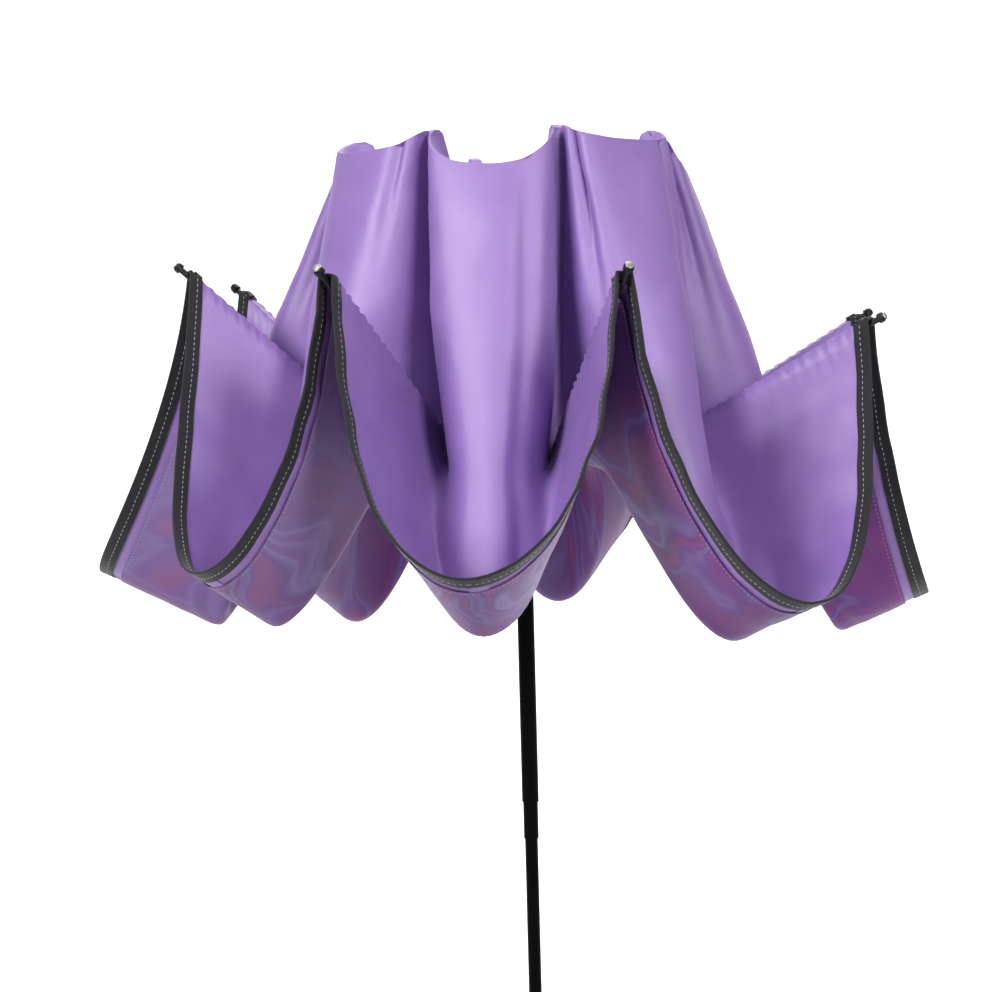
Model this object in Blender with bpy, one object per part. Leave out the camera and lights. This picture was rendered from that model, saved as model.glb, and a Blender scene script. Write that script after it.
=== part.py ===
"""Inverted folding umbrella, partly closed, held upright by its handle.

Metres, +Z up. The origin is the middle of the handle's flat end. The shaft
rises along +Z. Each of the eight rib chains runs up from the crown (N) to
the elbow (A), down to the knee (B) and up and out to its tip (C).
"""
import math

import bmesh
import bpy
from mathutils import Matrix, Vector

# Counts of ribs, sides and steps
RIBS = 8
TUBE_SIDES = 24
TURN_SIDES = 24
PIN_SIDES = 6
ROD_SIDES = 8
EYE_STEPS = 4
WIRE_SIDES = 6
HALF_STEPS = 3
SMOOTH_ANGLE = 35.0

# Handle
HANDLE_LENGTH = 0.078
GRIP_END_RADIUS = 0.0135
GRIP_BELLY_RADIUS = 0.0150
GRIP_NECK_RADIUS = 0.0118
GRIP_EDGE = 0.0012
END_CAP_THICKNESS = 0.0028
END_SPIGOT_RADIUS = 0.0080
END_SPIGOT_LENGTH = 0.0060
COLLAR_HEIGHT = 0.0042
COLLAR_TOP_RADIUS = 0.0080
SOCKET_DEPTH = 0.0520

# Push button in the handle
BUTTON_HEIGHT = 0.0560
BUTTON_RADIUS = 0.0048
BUTTON_PROUD = 0.0022
BUTTON_DEPTH = 0.0042
BUTTON_EDGE = 0.0008
POCKET_FLOOR_RADIUS = 0.0064
SPRING_RADIUS = 0.0026
SPRING_WIRE = 0.0005
SPRING_TURNS = 3
SPRING_STEPS = 10

# Telescopic shaft
TOP_TUBE_DIAMETER = 0.0104
TUBE_WALL = 0.00035
TUBE_FIT = 0.00025
LOW_TUBE_SHOWN = 0.140
MID_TUBE_SHOWN = 0.023
TOP_TUBE_BELOW_NOTCH = 0.241
TOP_TUBE_ABOVE_NOTCH = 0.008
MID_TUBE_INSIDE = 0.210
LOW_TUBE_INSIDE = 0.095

# Clearances
GAP = 0.0003
CUT_OVERRUN = 0.002
FACE_STEP = 0.0001

# Crown, runner and their hinge wires
NOTCH_RADIUS = 0.0080
CROWN_RADIUS = 0.0094
CROWN_BELOW = 0.0050
CROWN_ABOVE = 0.0020
CROWN_WALL = 0.0007
RUNNER_PIVOT_RADIUS = 0.0104
RUNNER_RADIUS = 0.0129
RUNNER_BELOW = 0.0030
RUNNER_ABOVE = 0.0030
RUNNER_SLEEVE_RADIUS = 0.0078
RUNNER_SLEEVE_LENGTH = 0.0200
SLOT_WIDTH = 0.0020
HINGE_WIRE = 0.0008
TOP_CAP_RADIUS = 0.0064
TOP_CAP_HEIGHT = 0.0095
TOP_CAP_SHOULDER_RADIUS = 0.0049
TOP_CAP_DROP = 0.0035
TOP_CAP_SHOULDER_DROP = 0.0012

# Rib chain
INNER_LENGTH = 0.185
MIDDLE_LENGTH = 0.2006
OUTER_LENGTH = 0.184
STRETCHER_LENGTH = 0.130
STRETCHER_SEAT = 0.090
EYE_RADIUS = 0.0024
END_EYE_RADIUS = 0.0015
PIN_RADIUS = 0.0008
OPEN_PIVOT_PLAY = 0.0010
BLADE_THICKNESS = 0.0012
CHEEK_THICKNESS = 0.0008
CHANNEL_WIDTH = 0.0030
CHANNEL_HEIGHT = 0.0028
CHANNEL_WALL = 0.0005
STRETCHER_WIDTH = 0.0050
STRETCHER_HEIGHT = 0.0024
EYE_SHANK = 0.0080
CHEEK_SHANK = 0.0100
BLADE_SHANK = 0.0140
BAR_START = 0.0115
INNER_BAR_START = 0.0040
STRETCHER_BAR_START = 0.0060
INNER_OFFSET_AT_ELBOW = 0.0017
MIDDLE_OFFSET_AT_ELBOW = 0.0017
MIDDLE_DROP_AT_KNEE = 0.0009
OUTER_DROP_AT_KNEE = 0.0021
STRETCHER_DROP_AT_SEAT = 0.0024
ROD_RADIUS = 0.0012
ROD_TIP_RADIUS = 0.0009

# Rest pose of the chain, in degrees above level
INNER_ANGLE = 62.6
MIDDLE_ANGLE = -97.2
OUTER_ANGLE = 36.1
FIRST_RIB_AZIMUTH = 15.0
OUTER_LIFTS = (0.0, -9.5, -6.5, -4.0, 0.0, 4.0, 6.0, 1.5)

# Tip caps
TIP_LENGTH = 0.0150
TIP_HEAD_RADIUS = 0.0031
TIP_NECK_RADIUS = 0.0019
TIP_HEAD_LENGTH = 0.0045
TIP_DOME = 0.0015
TIP_SOCKET_DEPTH = 0.0060
TIP_SIDES = 10

# Cloth
CLOTH_THICKNESS = 0.0007
CLOTH_CLEARANCE = 0.0004
CLOTH_START = 0.0045
CLOTH_START_FLAT = 0.0011
RIM_RADIUS = 0.102
RIM_HEIGHT = 0.164
RIM_LAP = 0.0016
FOLD_RADIUS = 0.186
FOLD_DROP = 0.133
HEM_RADIUS = 0.254
HEM_DROP = 0.105
MID_START_RADIUS = 0.0092
MID_START_HEIGHT = 0.0056
TOP_FLAT_HALF = 0.0034
HANG_FLAT_HALF = 0.0054
LINING_STEP = 0.0024
TAPE_WIDTH = 0.009
TAPE_THICKNESS = 0.0012
PATCH_WIDTH = 0.020
PATCH_HEIGHT = 0.008
PATCH_THICKNESS = 0.0006

# Cloth variation from gore to gore, as shares
RIM_RADIUS_SHARES = (1.08, 1.04, 1.00, 1.04, 1.02, 1.06, 1.12, 1.14)
RIM_HEIGHT_SHARES = (0.97, 0.88, 0.94, 0.97, 0.95, 0.89, 0.96, 0.88)
FOLD_RADIUS_SHARES = (1.00, 1.03, 0.97, 1.02, 0.98, 1.03, 0.97, 1.01)
FOLD_DROP_SHARES = (0.98, 1.03, 1.06, 1.00, 1.05, 0.97, 0.90, 0.92)
HEM_RADIUS_SHARES = (0.99, 0.98, 0.97, 1.00, 1.02, 1.05, 0.93, 1.00)
HEM_DROP_SHARES = (1.00, 1.08, 1.04, 1.02, 0.98, 0.90, 0.86, 0.82)
LOBE_REACH_SHARE = 0.50
CANOPY_WIDTH_SHARES = (0.78, 0.78, 1.25, 1.25, 1.25, 1.15, 0.90, 0.70, 0.62, 0.62)
CANOPY_SPREAD_SHARES = (0, 0, 0.22, 0.22, 0.22, 0.18, 0.06, 0, 0, 0)
CANOPY_DROP_SHARES = (0.16, 0.16, 0, 0, 0, 0.16, 0.16, 0.16, 0.16, 0.16)
LINING_WIDTH_SHARES = (0.78, 0.78, 0.78, 0.78, 0.78, 0.70, 0.70, 0.62, 0.62)
LINING_SPREAD_SHARES = (0, 0, 0, 0, 0, 0, 0, 0, 0)
LINING_DROP_SHARES = (0.16, 0.16, 0.16, 0.16, 0.16, 0.16, 0.16, 0.16, 0.16)
HANG_REACH_SHARE = 0.16
HANG_DROP_SHARE = 0.55
CANOPY_HANG_SHARES = (0, 0, 0, 0, 0, 0, 0, 0.5, 1, 1)
LINING_HANG_SHARES = (0, 0, 0, 0, 0, 0.5, 0.5, 1, 1)
CANOPY_FLAT_SHARES = (0, 0, 0, 0, 0, 0, 0.5, 1, 1, 1)
LINING_FLAT_SHARES = (1, 1, 1, 0.5, 0, 0, 0, 0, 0)
LINING_SHIFT_SHARES = (0, 0, -0.3, -0.8, -1.5, -1.6, 0.5, 0.5, 0.5)
LINING_START_SHARE = 0.30
TURN_SHARE = 0.04
SEAM_SHARE = 0.72
MITRE_LIMIT_SHARE = 3.0
PATCH_GORE = 1
PATCH_ROW = 6
PATCH_COLUMN = 1
PATCH_ACROSS_SHARE = 0.45
PATCH_ALONG_SHARE = 0.35

# Derived radii of the shaft
TOP_TUBE_RADIUS = TOP_TUBE_DIAMETER / 2
MID_TUBE_RADIUS = TOP_TUBE_RADIUS - TUBE_WALL - TUBE_FIT
LOW_TUBE_RADIUS = MID_TUBE_RADIUS - TUBE_WALL - TUBE_FIT

# Derived heights on the shaft
MID_TUBE_END = HANDLE_LENGTH + LOW_TUBE_SHOWN
TOP_TUBE_END = MID_TUBE_END + MID_TUBE_SHOWN
NOTCH_HEIGHT = TOP_TUBE_END + TOP_TUBE_BELOW_NOTCH
SHAFT_TOP = NOTCH_HEIGHT + TOP_TUBE_ABOVE_NOTCH

# Colours
BLACK = (0.012, 0.012, 0.013)
STEEL = (0.42, 0.42, 0.44)
GREY = (0.10, 0.10, 0.11)
LAVENDER = (0.36, 0.23, 0.60)
PLUM = (0.30, 0.15, 0.32)
TAPE = (0.04, 0.036, 0.042)

# Finishes as colour, roughness and metallic
SOFT_BLACK = (BLACK, 0.55, 0.0)
MOULDED = (BLACK, 0.42, 0.0)
TRIM = (GREY, 0.35, 0.0)
PAINTED_STEEL = (BLACK, 0.33, 0.7)
BRIGHT_STEEL = (STEEL, 0.30, 1.0)
SATIN = (LAVENDER, 0.35, 0.0)
PRINTED_CLOTH = (PLUM, 0.50, 0.0)
WOVEN_TAPE = (TAPE, 0.65, 0.0)


def clear_scene():
    """Remove whatever the scene holds."""
    for old in list(bpy.data.objects):
        bpy.data.objects.remove(old)


def material(name, colour, roughness, metallic):
    """A plain Principled material."""
    made = bpy.data.materials.new(name)
    made.use_nodes = True
    shader = made.node_tree.nodes["Principled BSDF"]
    shader.inputs["Base Color"].default_value = (*colour, 1.0)
    shader.inputs["Roughness"].default_value = roughness
    shader.inputs["Metallic"].default_value = metallic
    return made


def add_object(name, mesh, finish, place=None):
    """Put a mesh in the scene as one named sub-part."""
    thing = bpy.data.objects.new(name, mesh)
    bpy.context.collection.objects.link(thing)
    thing.matrix_world = place or Matrix()
    mesh.materials.clear()
    mesh.materials.append(material(name, *finish))


def to_mesh(name, bm):
    """Turn a bmesh into a mesh with faces pointing out and smooth rounds."""
    bmesh.ops.recalc_face_normals(bm, faces=bm.faces)
    mesh = bpy.data.meshes.new(name)
    bm.to_mesh(mesh)
    bm.free()
    mesh.shade_smooth()
    mesh.set_sharp_from_angle(angle=math.radians(SMOOTH_ANGLE))
    return mesh


def turned(name, profile, sides):
    """A solid of revolution about Z from a closed (radius, height) outline."""
    bm = bmesh.new()
    rings = []
    for radius, height in profile:
        if radius == 0:
            rings.append([bm.verts.new((0, 0, height))] * sides)
            continue
        ring = []
        for i in range(sides):
            angle = math.tau * i / sides
            ring.append(bm.verts.new((radius * math.cos(angle), radius * math.sin(angle), height)))
        rings.append(ring)
    for low, high in zip(rings, rings[1:] + rings[:1]):
        for i in range(sides):
            j = (i + 1) % sides
            corners = list(dict.fromkeys((low[i], low[j], high[j], high[i])))
            if len(corners) > 2:
                bm.faces.new(corners)
    return to_mesh(name, bm)


def hollow_profile(outer, inner, bottom, top):
    """The outline of a plain tube."""
    return [(outer, bottom), (outer, top), (inner, top), (inner, bottom)]


def extruded(outline, half_width):
    """A bmesh prism of an (x, z) outline, from -half_width to +half_width in Y."""
    bm = bmesh.new()
    verts = [bm.verts.new((x, -half_width, z)) for x, z in outline]
    face = bm.faces.new(verts)
    grown = bmesh.ops.extrude_face_region(bm, geom=[face])
    moved = [v for v in grown["geom"] if isinstance(v, bmesh.types.BMVert)]
    bmesh.ops.translate(bm, verts=moved, vec=(0, 2 * half_width, 0))
    bmesh.ops.recalc_face_normals(bm, faces=bm.faces)
    return bm


def rod_along_y(radius, half_length, x=0):
    """A bmesh cylinder along Y through (x, 0)."""
    outline = []
    for i in range(PIN_SIDES):
        angle = math.tau * (i + 0.5) / PIN_SIDES
        outline.append((x + radius * math.cos(angle), radius * math.sin(angle)))
    return extruded(outline, half_length)


def hole_along_y(pin_radius, clearance, half_length, x=0):
    """A bmesh cutter along Y whose flats clear a pin."""
    radius = (pin_radius + clearance) / math.cos(math.pi / PIN_SIDES)
    return rod_along_y(radius, half_length, x)


def eye_outline(eye_x, root_x, root_z, eye_radius, root_half):
    """A lug outline: a round eye at (eye_x, 0) that widens into a root."""
    facing = 1 if eye_x > root_x else -1
    outline = []
    for i in range(EYE_STEPS + 1):
        angle = math.pi * (i / EYE_STEPS - 1 / 2)
        outline.append((eye_x + facing * eye_radius * math.cos(angle), eye_radius * math.sin(angle)))
    outline.append((root_x, root_z + root_half))
    outline.append((root_x, root_z - root_half))
    return outline


def channel(start_x, end_x, start_z, end_z, width, height, web_up):
    """A bmesh U channel along X whose web lies on the upper or lower side."""
    wall = CHANNEL_WALL
    half = width / 2
    rise = height / 2
    section = [
        (-half, -rise),
        (-half, rise),
        (half, rise),
        (half, -rise),
        (half - wall, -rise),
        (half - wall, rise - wall),
        (wall - half, rise - wall),
        (wall - half, -rise),
    ]
    flip = 1 if web_up else -1
    bm = bmesh.new()
    ends = []
    for x, z in ((start_x, start_z), (end_x, end_z)):
        ends.append([bm.verts.new((x, across, z + flip * up)) for across, up in section])
    for i in range(len(section)):
        j = (i + 1) % len(section)
        bm.faces.new((ends[0][i], ends[0][j], ends[1][j], ends[1][i]))
    bm.faces.new(ends[0])
    bm.faces.new(ends[1])
    bmesh.ops.recalc_face_normals(bm, faces=bm.faces)
    return bm


def round_rod(start, end, start_radius, end_radius):
    """A bmesh tapered rod between two (x, z) places."""
    bm = bmesh.new()
    rings = []
    for (x, z), radius in ((start, start_radius), (end, end_radius)):
        ring = []
        for i in range(ROD_SIDES):
            angle = math.tau * (i + 0.5) / ROD_SIDES
            ring.append(bm.verts.new((x, radius * math.cos(angle), z + radius * math.sin(angle))))
        rings.append(ring)
    for i in range(ROD_SIDES):
        j = (i + 1) % ROD_SIDES
        bm.faces.new((rings[0][i], rings[0][j], rings[1][j], rings[1][i]))
    bm.faces.new(rings[0])
    bm.faces.new(rings[1])
    bmesh.ops.recalc_face_normals(bm, faces=bm.faces)
    return bm


def temporary(bm):
    """A scene object that lasts only while solids are combined."""
    mesh = bpy.data.meshes.new("temporary")
    bm.to_mesh(mesh)
    bm.free()
    thing = bpy.data.objects.new("temporary", mesh)
    bpy.context.collection.objects.link(thing)
    return thing


def combined(name, base, added=(), cut=()):
    """One closed mesh from bmesh solids, joined and cut with exact Booleans."""
    body = temporary(base)
    helpers = []
    for solids, operation in ((added, "UNION"), (cut, "DIFFERENCE")):
        for bm in solids:
            helper = temporary(bm)
            helpers.append(helper)
            step = body.modifiers.new(operation, "BOOLEAN")
            step.operation = operation
            step.solver = "EXACT"
            step.object = helper
    graph = bpy.context.evaluated_depsgraph_get()
    result = bpy.data.meshes.new_from_object(body.evaluated_get(graph))
    for thing in [body, *helpers]:
        bpy.data.objects.remove(thing)
    result.name = name
    result.shade_smooth()
    result.set_sharp_from_angle(angle=math.radians(SMOOTH_ANGLE))
    return result


def from_mesh(mesh):
    """A bmesh copy of a mesh."""
    bm = bmesh.new()
    bm.from_mesh(mesh)
    return bm


def azimuth(rib):
    """Azimuth of a rib in radians, from -Y toward +X."""
    return math.radians(FIRST_RIB_AZIMUTH + 360 / RIBS * rib)


def outward(angle):
    """Unit vector that points away from the shaft at an azimuth."""
    return Vector((math.sin(angle), -math.cos(angle), 0))


def chain_frame(rib, radius, height, elevation):
    """Local axes of a link: X along it, Z on its left, at a place in the rib's plane."""
    angle = azimuth(rib)
    turn = Matrix.Rotation(angle - math.radians(90), 4, "Z") @ Matrix.Rotation(-elevation, 4, "Y")
    place = outward(angle) * radius + Vector((0, 0, height))
    return Matrix.Translation(place) @ turn


def polar(length, degrees):
    """Radius and height gained along a link at an elevation."""
    angle = math.radians(degrees)
    return length * math.cos(angle), length * math.sin(angle)


def joint_places(rib):
    """(radius, height) of crown pivot N, elbow A, knee B and tip C of a rib."""
    notch = (NOTCH_RADIUS, NOTCH_HEIGHT)
    run, rise = polar(INNER_LENGTH, INNER_ANGLE)
    elbow = (notch[0] + run, notch[1] + rise)
    run, rise = polar(MIDDLE_LENGTH, MIDDLE_ANGLE)
    knee = (elbow[0] + run, elbow[1] + rise)
    run, rise = polar(OUTER_LENGTH, OUTER_ANGLE + OUTER_LIFTS[rib])
    tip = (knee[0] + run, knee[1] + rise)
    return notch, elbow, knee, tip


def runner_height():
    """Height of the stretcher pivots that the stretcher's length gives."""
    run, rise = polar(STRETCHER_SEAT, INNER_ANGLE)
    level = NOTCH_RADIUS + run - RUNNER_PIVOT_RADIUS
    return NOTCH_HEIGHT + rise - math.sqrt(STRETCHER_LENGTH**2 - level**2)


def stretcher_elevation():
    """Elevation of the stretchers at rest, in radians."""
    run, rise = polar(STRETCHER_SEAT, INNER_ANGLE)
    level = NOTCH_RADIUS + run - RUNNER_PIVOT_RADIUS
    return math.atan2(NOTCH_HEIGHT + rise - runner_height(), level)


def build_handle():
    """Grip with its socket and button pocket, end cap and collar."""
    bore = LOW_TUBE_RADIUS + GAP
    bottom = END_CAP_THICKNESS + GAP
    top = HANDLE_LENGTH - COLLAR_HEIGHT - GAP
    socket_floor = top - SOCKET_DEPTH
    recess = END_SPIGOT_RADIUS + GAP
    recess_top = bottom + END_SPIGOT_LENGTH
    middle = (bottom + top) / 2
    profile = [
        (GRIP_END_RADIUS - GRIP_EDGE, bottom),
        (GRIP_END_RADIUS, bottom + GRIP_EDGE),
        ((GRIP_END_RADIUS + GRIP_BELLY_RADIUS) / 2, (bottom + middle) / 2),
        (GRIP_BELLY_RADIUS, middle),
        ((GRIP_NECK_RADIUS + GRIP_BELLY_RADIUS) / 2, (top + middle) / 2 + GRIP_EDGE),
        (GRIP_NECK_RADIUS, top - GRIP_EDGE),
        (GRIP_NECK_RADIUS - GRIP_EDGE, top),
        (bore, top),
        (bore, socket_floor),
        (0, socket_floor),
        (0, recess_top + GAP),
        (recess, recess_top + GAP),
        (recess, bottom),
    ]
    solid = from_mesh(turned("handle_grip", profile, TURN_SIDES))
    pocket = button_prism(BUTTON_RADIUS + GAP, POCKET_FLOOR_RADIUS, GRIP_BELLY_RADIUS + CUT_OVERRUN)
    add_object("handle_grip", combined("handle_grip", solid, cut=[pocket]), SOFT_BLACK)
    cap = [
        (0, 0),
        (GRIP_END_RADIUS - GRIP_EDGE, 0),
        (GRIP_END_RADIUS, GRIP_EDGE),
        (GRIP_END_RADIUS - GRIP_EDGE, END_CAP_THICKNESS),
        (END_SPIGOT_RADIUS, END_CAP_THICKNESS),
        (END_SPIGOT_RADIUS, recess_top),
        (0, recess_top),
    ]
    add_object("handle_end_cap", turned("handle_end_cap", cap, TURN_SIDES), TRIM)
    collar = [
        (GRIP_NECK_RADIUS - GRIP_EDGE, top + GAP),
        (GRIP_NECK_RADIUS - GRIP_EDGE, top + GAP + GRIP_EDGE),
        (COLLAR_TOP_RADIUS, HANDLE_LENGTH),
        (bore, HANDLE_LENGTH),
        (bore, top + GAP),
    ]
    add_object("handle_collar", turned("handle_collar", collar, TURN_SIDES), BRIGHT_STEEL)


def button_prism(radius, inner, outer, edge=0):
    """A round prism along the outward direction of azimuth 0, at the button's height."""
    bm = bmesh.new()
    rings = []
    stations = [(inner, radius), (outer - edge, radius), (outer, radius - edge)]
    if edge == 0:
        stations = stations[:1] + stations[2:]
    for distance, ring_radius in stations:
        ring = []
        for i in range(TUBE_SIDES):
            angle = math.tau * i / TUBE_SIDES
            across = ring_radius * math.cos(angle)
            up = BUTTON_HEIGHT + ring_radius * math.sin(angle)
            ring.append(bm.verts.new((across, -distance, up)))
        rings.append(ring)
    for low, high in zip(rings, rings[1:]):
        for i in range(TUBE_SIDES):
            j = (i + 1) % TUBE_SIDES
            bm.faces.new((low[i], low[j], high[j], high[i]))
    bm.faces.new(rings[0])
    bm.faces.new(rings[-1])
    bmesh.ops.recalc_face_normals(bm, faces=bm.faces)
    return bm


def build_button():
    """Push button and the spring behind it."""
    face = GRIP_BELLY_RADIUS + BUTTON_PROUD - GRIP_EDGE
    back = face - BUTTON_DEPTH
    mesh = to_mesh("push_button", button_prism(BUTTON_RADIUS, back, face, BUTTON_EDGE))
    add_object("push_button", mesh, TRIM)
    start = POCKET_FLOOR_RADIUS + GAP + SPRING_WIRE / 2
    end = back - GAP - SPRING_WIRE / 2
    count = SPRING_TURNS * SPRING_STEPS
    places = []
    for i in range(count + 1):
        angle = math.tau * i / SPRING_STEPS
        along = start + (end - start) * i / count
        across = SPRING_RADIUS * math.cos(angle)
        up = BUTTON_HEIGHT + SPRING_RADIUS * math.sin(angle)
        places.append(Vector((across, -along, up)))
    coil = swept(places, SPRING_WIRE / 2, Vector((0, 1, 0)))
    add_object("button_spring", to_mesh("button_spring", coil), BRIGHT_STEEL)


def swept(places, radius, axis, closed=False):
    """A bmesh tube along a list of places that turn about an axis."""
    bm = bmesh.new()
    rings = []
    count = len(places)
    for i, place in enumerate(places):
        before = places[(i - 1) % count] if closed or i > 0 else place
        after = places[(i + 1) % count] if closed or i < count - 1 else place
        along = (after - before).normalized()
        side = along.cross(axis).normalized() * radius
        up = side.cross(along)
        ring = []
        for k in range(WIRE_SIDES):
            angle = math.tau * k / WIRE_SIDES
            ring.append(bm.verts.new(place + side * math.cos(angle) + up * math.sin(angle)))
        rings.append(ring)
    pairs = list(zip(rings, rings[1:]))
    if closed:
        pairs.append((rings[-1], rings[0]))
    for low, high in pairs:
        for k in range(WIRE_SIDES):
            j = (k + 1) % WIRE_SIDES
            bm.faces.new((low[k], low[j], high[j], high[k]))
    if not closed:
        bm.faces.new(rings[0])
        bm.faces.new(rings[-1])
    return bm


def build_shaft():
    """Three telescopic tubes, each in the one above."""
    low_bottom = HANDLE_LENGTH - COLLAR_HEIGHT - SOCKET_DEPTH
    tubes = (
        ("tube_low", LOW_TUBE_RADIUS, low_bottom, MID_TUBE_END + LOW_TUBE_INSIDE),
        ("tube_mid", MID_TUBE_RADIUS, MID_TUBE_END, TOP_TUBE_END + MID_TUBE_INSIDE),
        ("tube_top", TOP_TUBE_RADIUS, TOP_TUBE_END, SHAFT_TOP),
    )
    for name, radius, bottom, top in tubes:
        profile = hollow_profile(radius, radius - TUBE_WALL, 0, top - bottom)
        mesh = turned(name, profile, TUBE_SIDES)
        add_object(name, mesh, PAINTED_STEEL, Matrix.Translation((0, 0, bottom)))


def notched_ring(name, radius, pivot_radius, bottom, top, sleeve):
    """A hinge ring with a slot for each rib and a groove for its wire."""
    bore = TOP_TUBE_RADIUS + GAP
    groove = HINGE_WIRE / 2 + GAP
    profile = [
        (radius, bottom),
        (radius, top),
        (pivot_radius + groove, top),
        (pivot_radius + groove, -groove),
        (pivot_radius - groove, -groove),
        (pivot_radius - groove, top),
        (bore, top),
    ]
    if sleeve:
        length, sleeve_radius = sleeve
        profile += [(bore, bottom - length), (sleeve_radius, bottom - length), (sleeve_radius, bottom)]
    else:
        profile += [(bore, bottom)]
    solid = from_mesh(turned(name, profile, TURN_SIDES))
    slots = []
    slot_floor = bore + CROWN_WALL
    for rib in range(RIBS):
        middle = (slot_floor + radius + CUT_OVERRUN) / 2
        size = (radius + CUT_OVERRUN - slot_floor, SLOT_WIDTH, top - bottom + 2 * CUT_OVERRUN)
        turn = Matrix.Rotation(azimuth(rib) - math.radians(90), 4, "Z")
        lift = Matrix.Translation((middle, 0, (top + bottom) / 2))
        bm = bmesh.new()
        bmesh.ops.create_cube(bm, size=1, matrix=turn @ lift @ Matrix.Diagonal((*size, 1)))
        slots.append(bm)
    return combined(name, solid, cut=slots)


def wire_ring(name, radius):
    """A closed hinge wire about Z."""
    places = []
    for i in range(TURN_SIDES):
        angle = math.tau * i / TURN_SIDES
        places.append(Vector((radius * math.cos(angle), radius * math.sin(angle), 0)))
    return to_mesh(name, swept(places, HINGE_WIRE / 2, Vector((0, 0, 1)), closed=True))


def build_crown_and_runner():
    """Crown, runner, their hinge wires and the cap over the cloth."""
    at_crown = Matrix.Translation((0, 0, NOTCH_HEIGHT))
    at_runner = Matrix.Translation((0, 0, runner_height()))
    crown = notched_ring("crown", CROWN_RADIUS, NOTCH_RADIUS, -CROWN_BELOW, CROWN_ABOVE, None)
    add_object("crown", crown, MOULDED, at_crown)
    sleeve = (RUNNER_SLEEVE_LENGTH, RUNNER_SLEEVE_RADIUS)
    runner = notched_ring("runner", RUNNER_RADIUS, RUNNER_PIVOT_RADIUS, -RUNNER_BELOW, RUNNER_ABOVE, sleeve)
    add_object("runner", runner, MOULDED, at_runner)
    add_object("crown_wire", wire_ring("crown_wire", NOTCH_RADIUS), BRIGHT_STEEL, at_crown)
    add_object("runner_wire", wire_ring("runner_wire", RUNNER_PIVOT_RADIUS), BRIGHT_STEEL, at_runner)
    bottom = CROWN_ABOVE + GAP
    roof = TOP_TUBE_ABOVE_NOTCH + GAP
    top = bottom + TOP_CAP_HEIGHT
    profile = [
        (TOP_CAP_RADIUS, bottom),
        (TOP_CAP_RADIUS, top - TOP_CAP_DROP),
        (TOP_CAP_SHOULDER_RADIUS, top - TOP_CAP_SHOULDER_DROP),
        (0, top),
        (0, roof),
        (TOP_TUBE_RADIUS + GAP, roof),
        (TOP_TUBE_RADIUS + GAP, bottom),
    ]
    add_object("top_cap", turned("top_cap", profile, TURN_SIDES), MOULDED, at_crown)


def lug(eye_x, root_x, root_z, half_width, eye_radius, root_half):
    """A plate with a round eye, as a bmesh."""
    return extruded(eye_outline(eye_x, root_x, root_z, eye_radius, root_half), half_width)


def shifted(bm, across):
    """Move a bmesh sideways along Y."""
    bmesh.ops.translate(bm, verts=bm.verts, vec=(0, across, 0))
    return bm


def fork_lugs(eye_x, root_x, root_z, inner_half, eye_radius, root_half):
    """Two cheeks with round eyes, either side of a gap."""
    cheeks = []
    for side in (-1, 1):
        cheek = lug(eye_x, root_x, root_z, CHEEK_THICKNESS / 2, eye_radius, root_half)
        cheeks.append(shifted(cheek, side * (inner_half + CHEEK_THICKNESS / 2)))
    return cheeks


def offset_at(distance, start, end, length):
    """Offset of a link's bar from its pivot line, at a distance along it."""
    return start + (end - start) * distance / length


def inner_rib_mesh():
    """Channel with a wire eye at the crown, a fork at the elbow and the stretcher pin."""
    inner_half = BLADE_THICKNESS / 2 + GAP
    end = INNER_LENGTH - EYE_RADIUS - CHEEK_THICKNESS
    start = INNER_BAR_START
    start_z = offset_at(start, 0, INNER_OFFSET_AT_ELBOW, INNER_LENGTH)
    end_z = offset_at(end, 0, INNER_OFFSET_AT_ELBOW, INNER_LENGTH)
    bar = channel(start, end, start_z, end_z, CHANNEL_WIDTH, CHANNEL_HEIGHT, True)
    root = CHANNEL_HEIGHT / 2 + FACE_STEP
    eye_half = CHANNEL_HEIGHT / 2 - FACE_STEP
    eye = lug(0, EYE_SHANK, start_z, BLADE_THICKNESS / 2, END_EYE_RADIUS, eye_half)
    cheeks = fork_lugs(INNER_LENGTH, INNER_LENGTH - CHEEK_SHANK, end_z, inner_half, EYE_RADIUS, root)
    seat_half = STRETCHER_WIDTH / 2 + CHEEK_THICKNESS / 2
    pin = rod_along_y(PIN_RADIUS, seat_half, STRETCHER_SEAT)
    holes = [
        hole_along_y(HINGE_WIRE / 2, GAP, BLADE_THICKNESS),
        hole_along_y(PIN_RADIUS, GAP, CHANNEL_WIDTH, INNER_LENGTH),
    ]
    return combined("inner_rib", bar, [eye, *cheeks, pin], holes)


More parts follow.
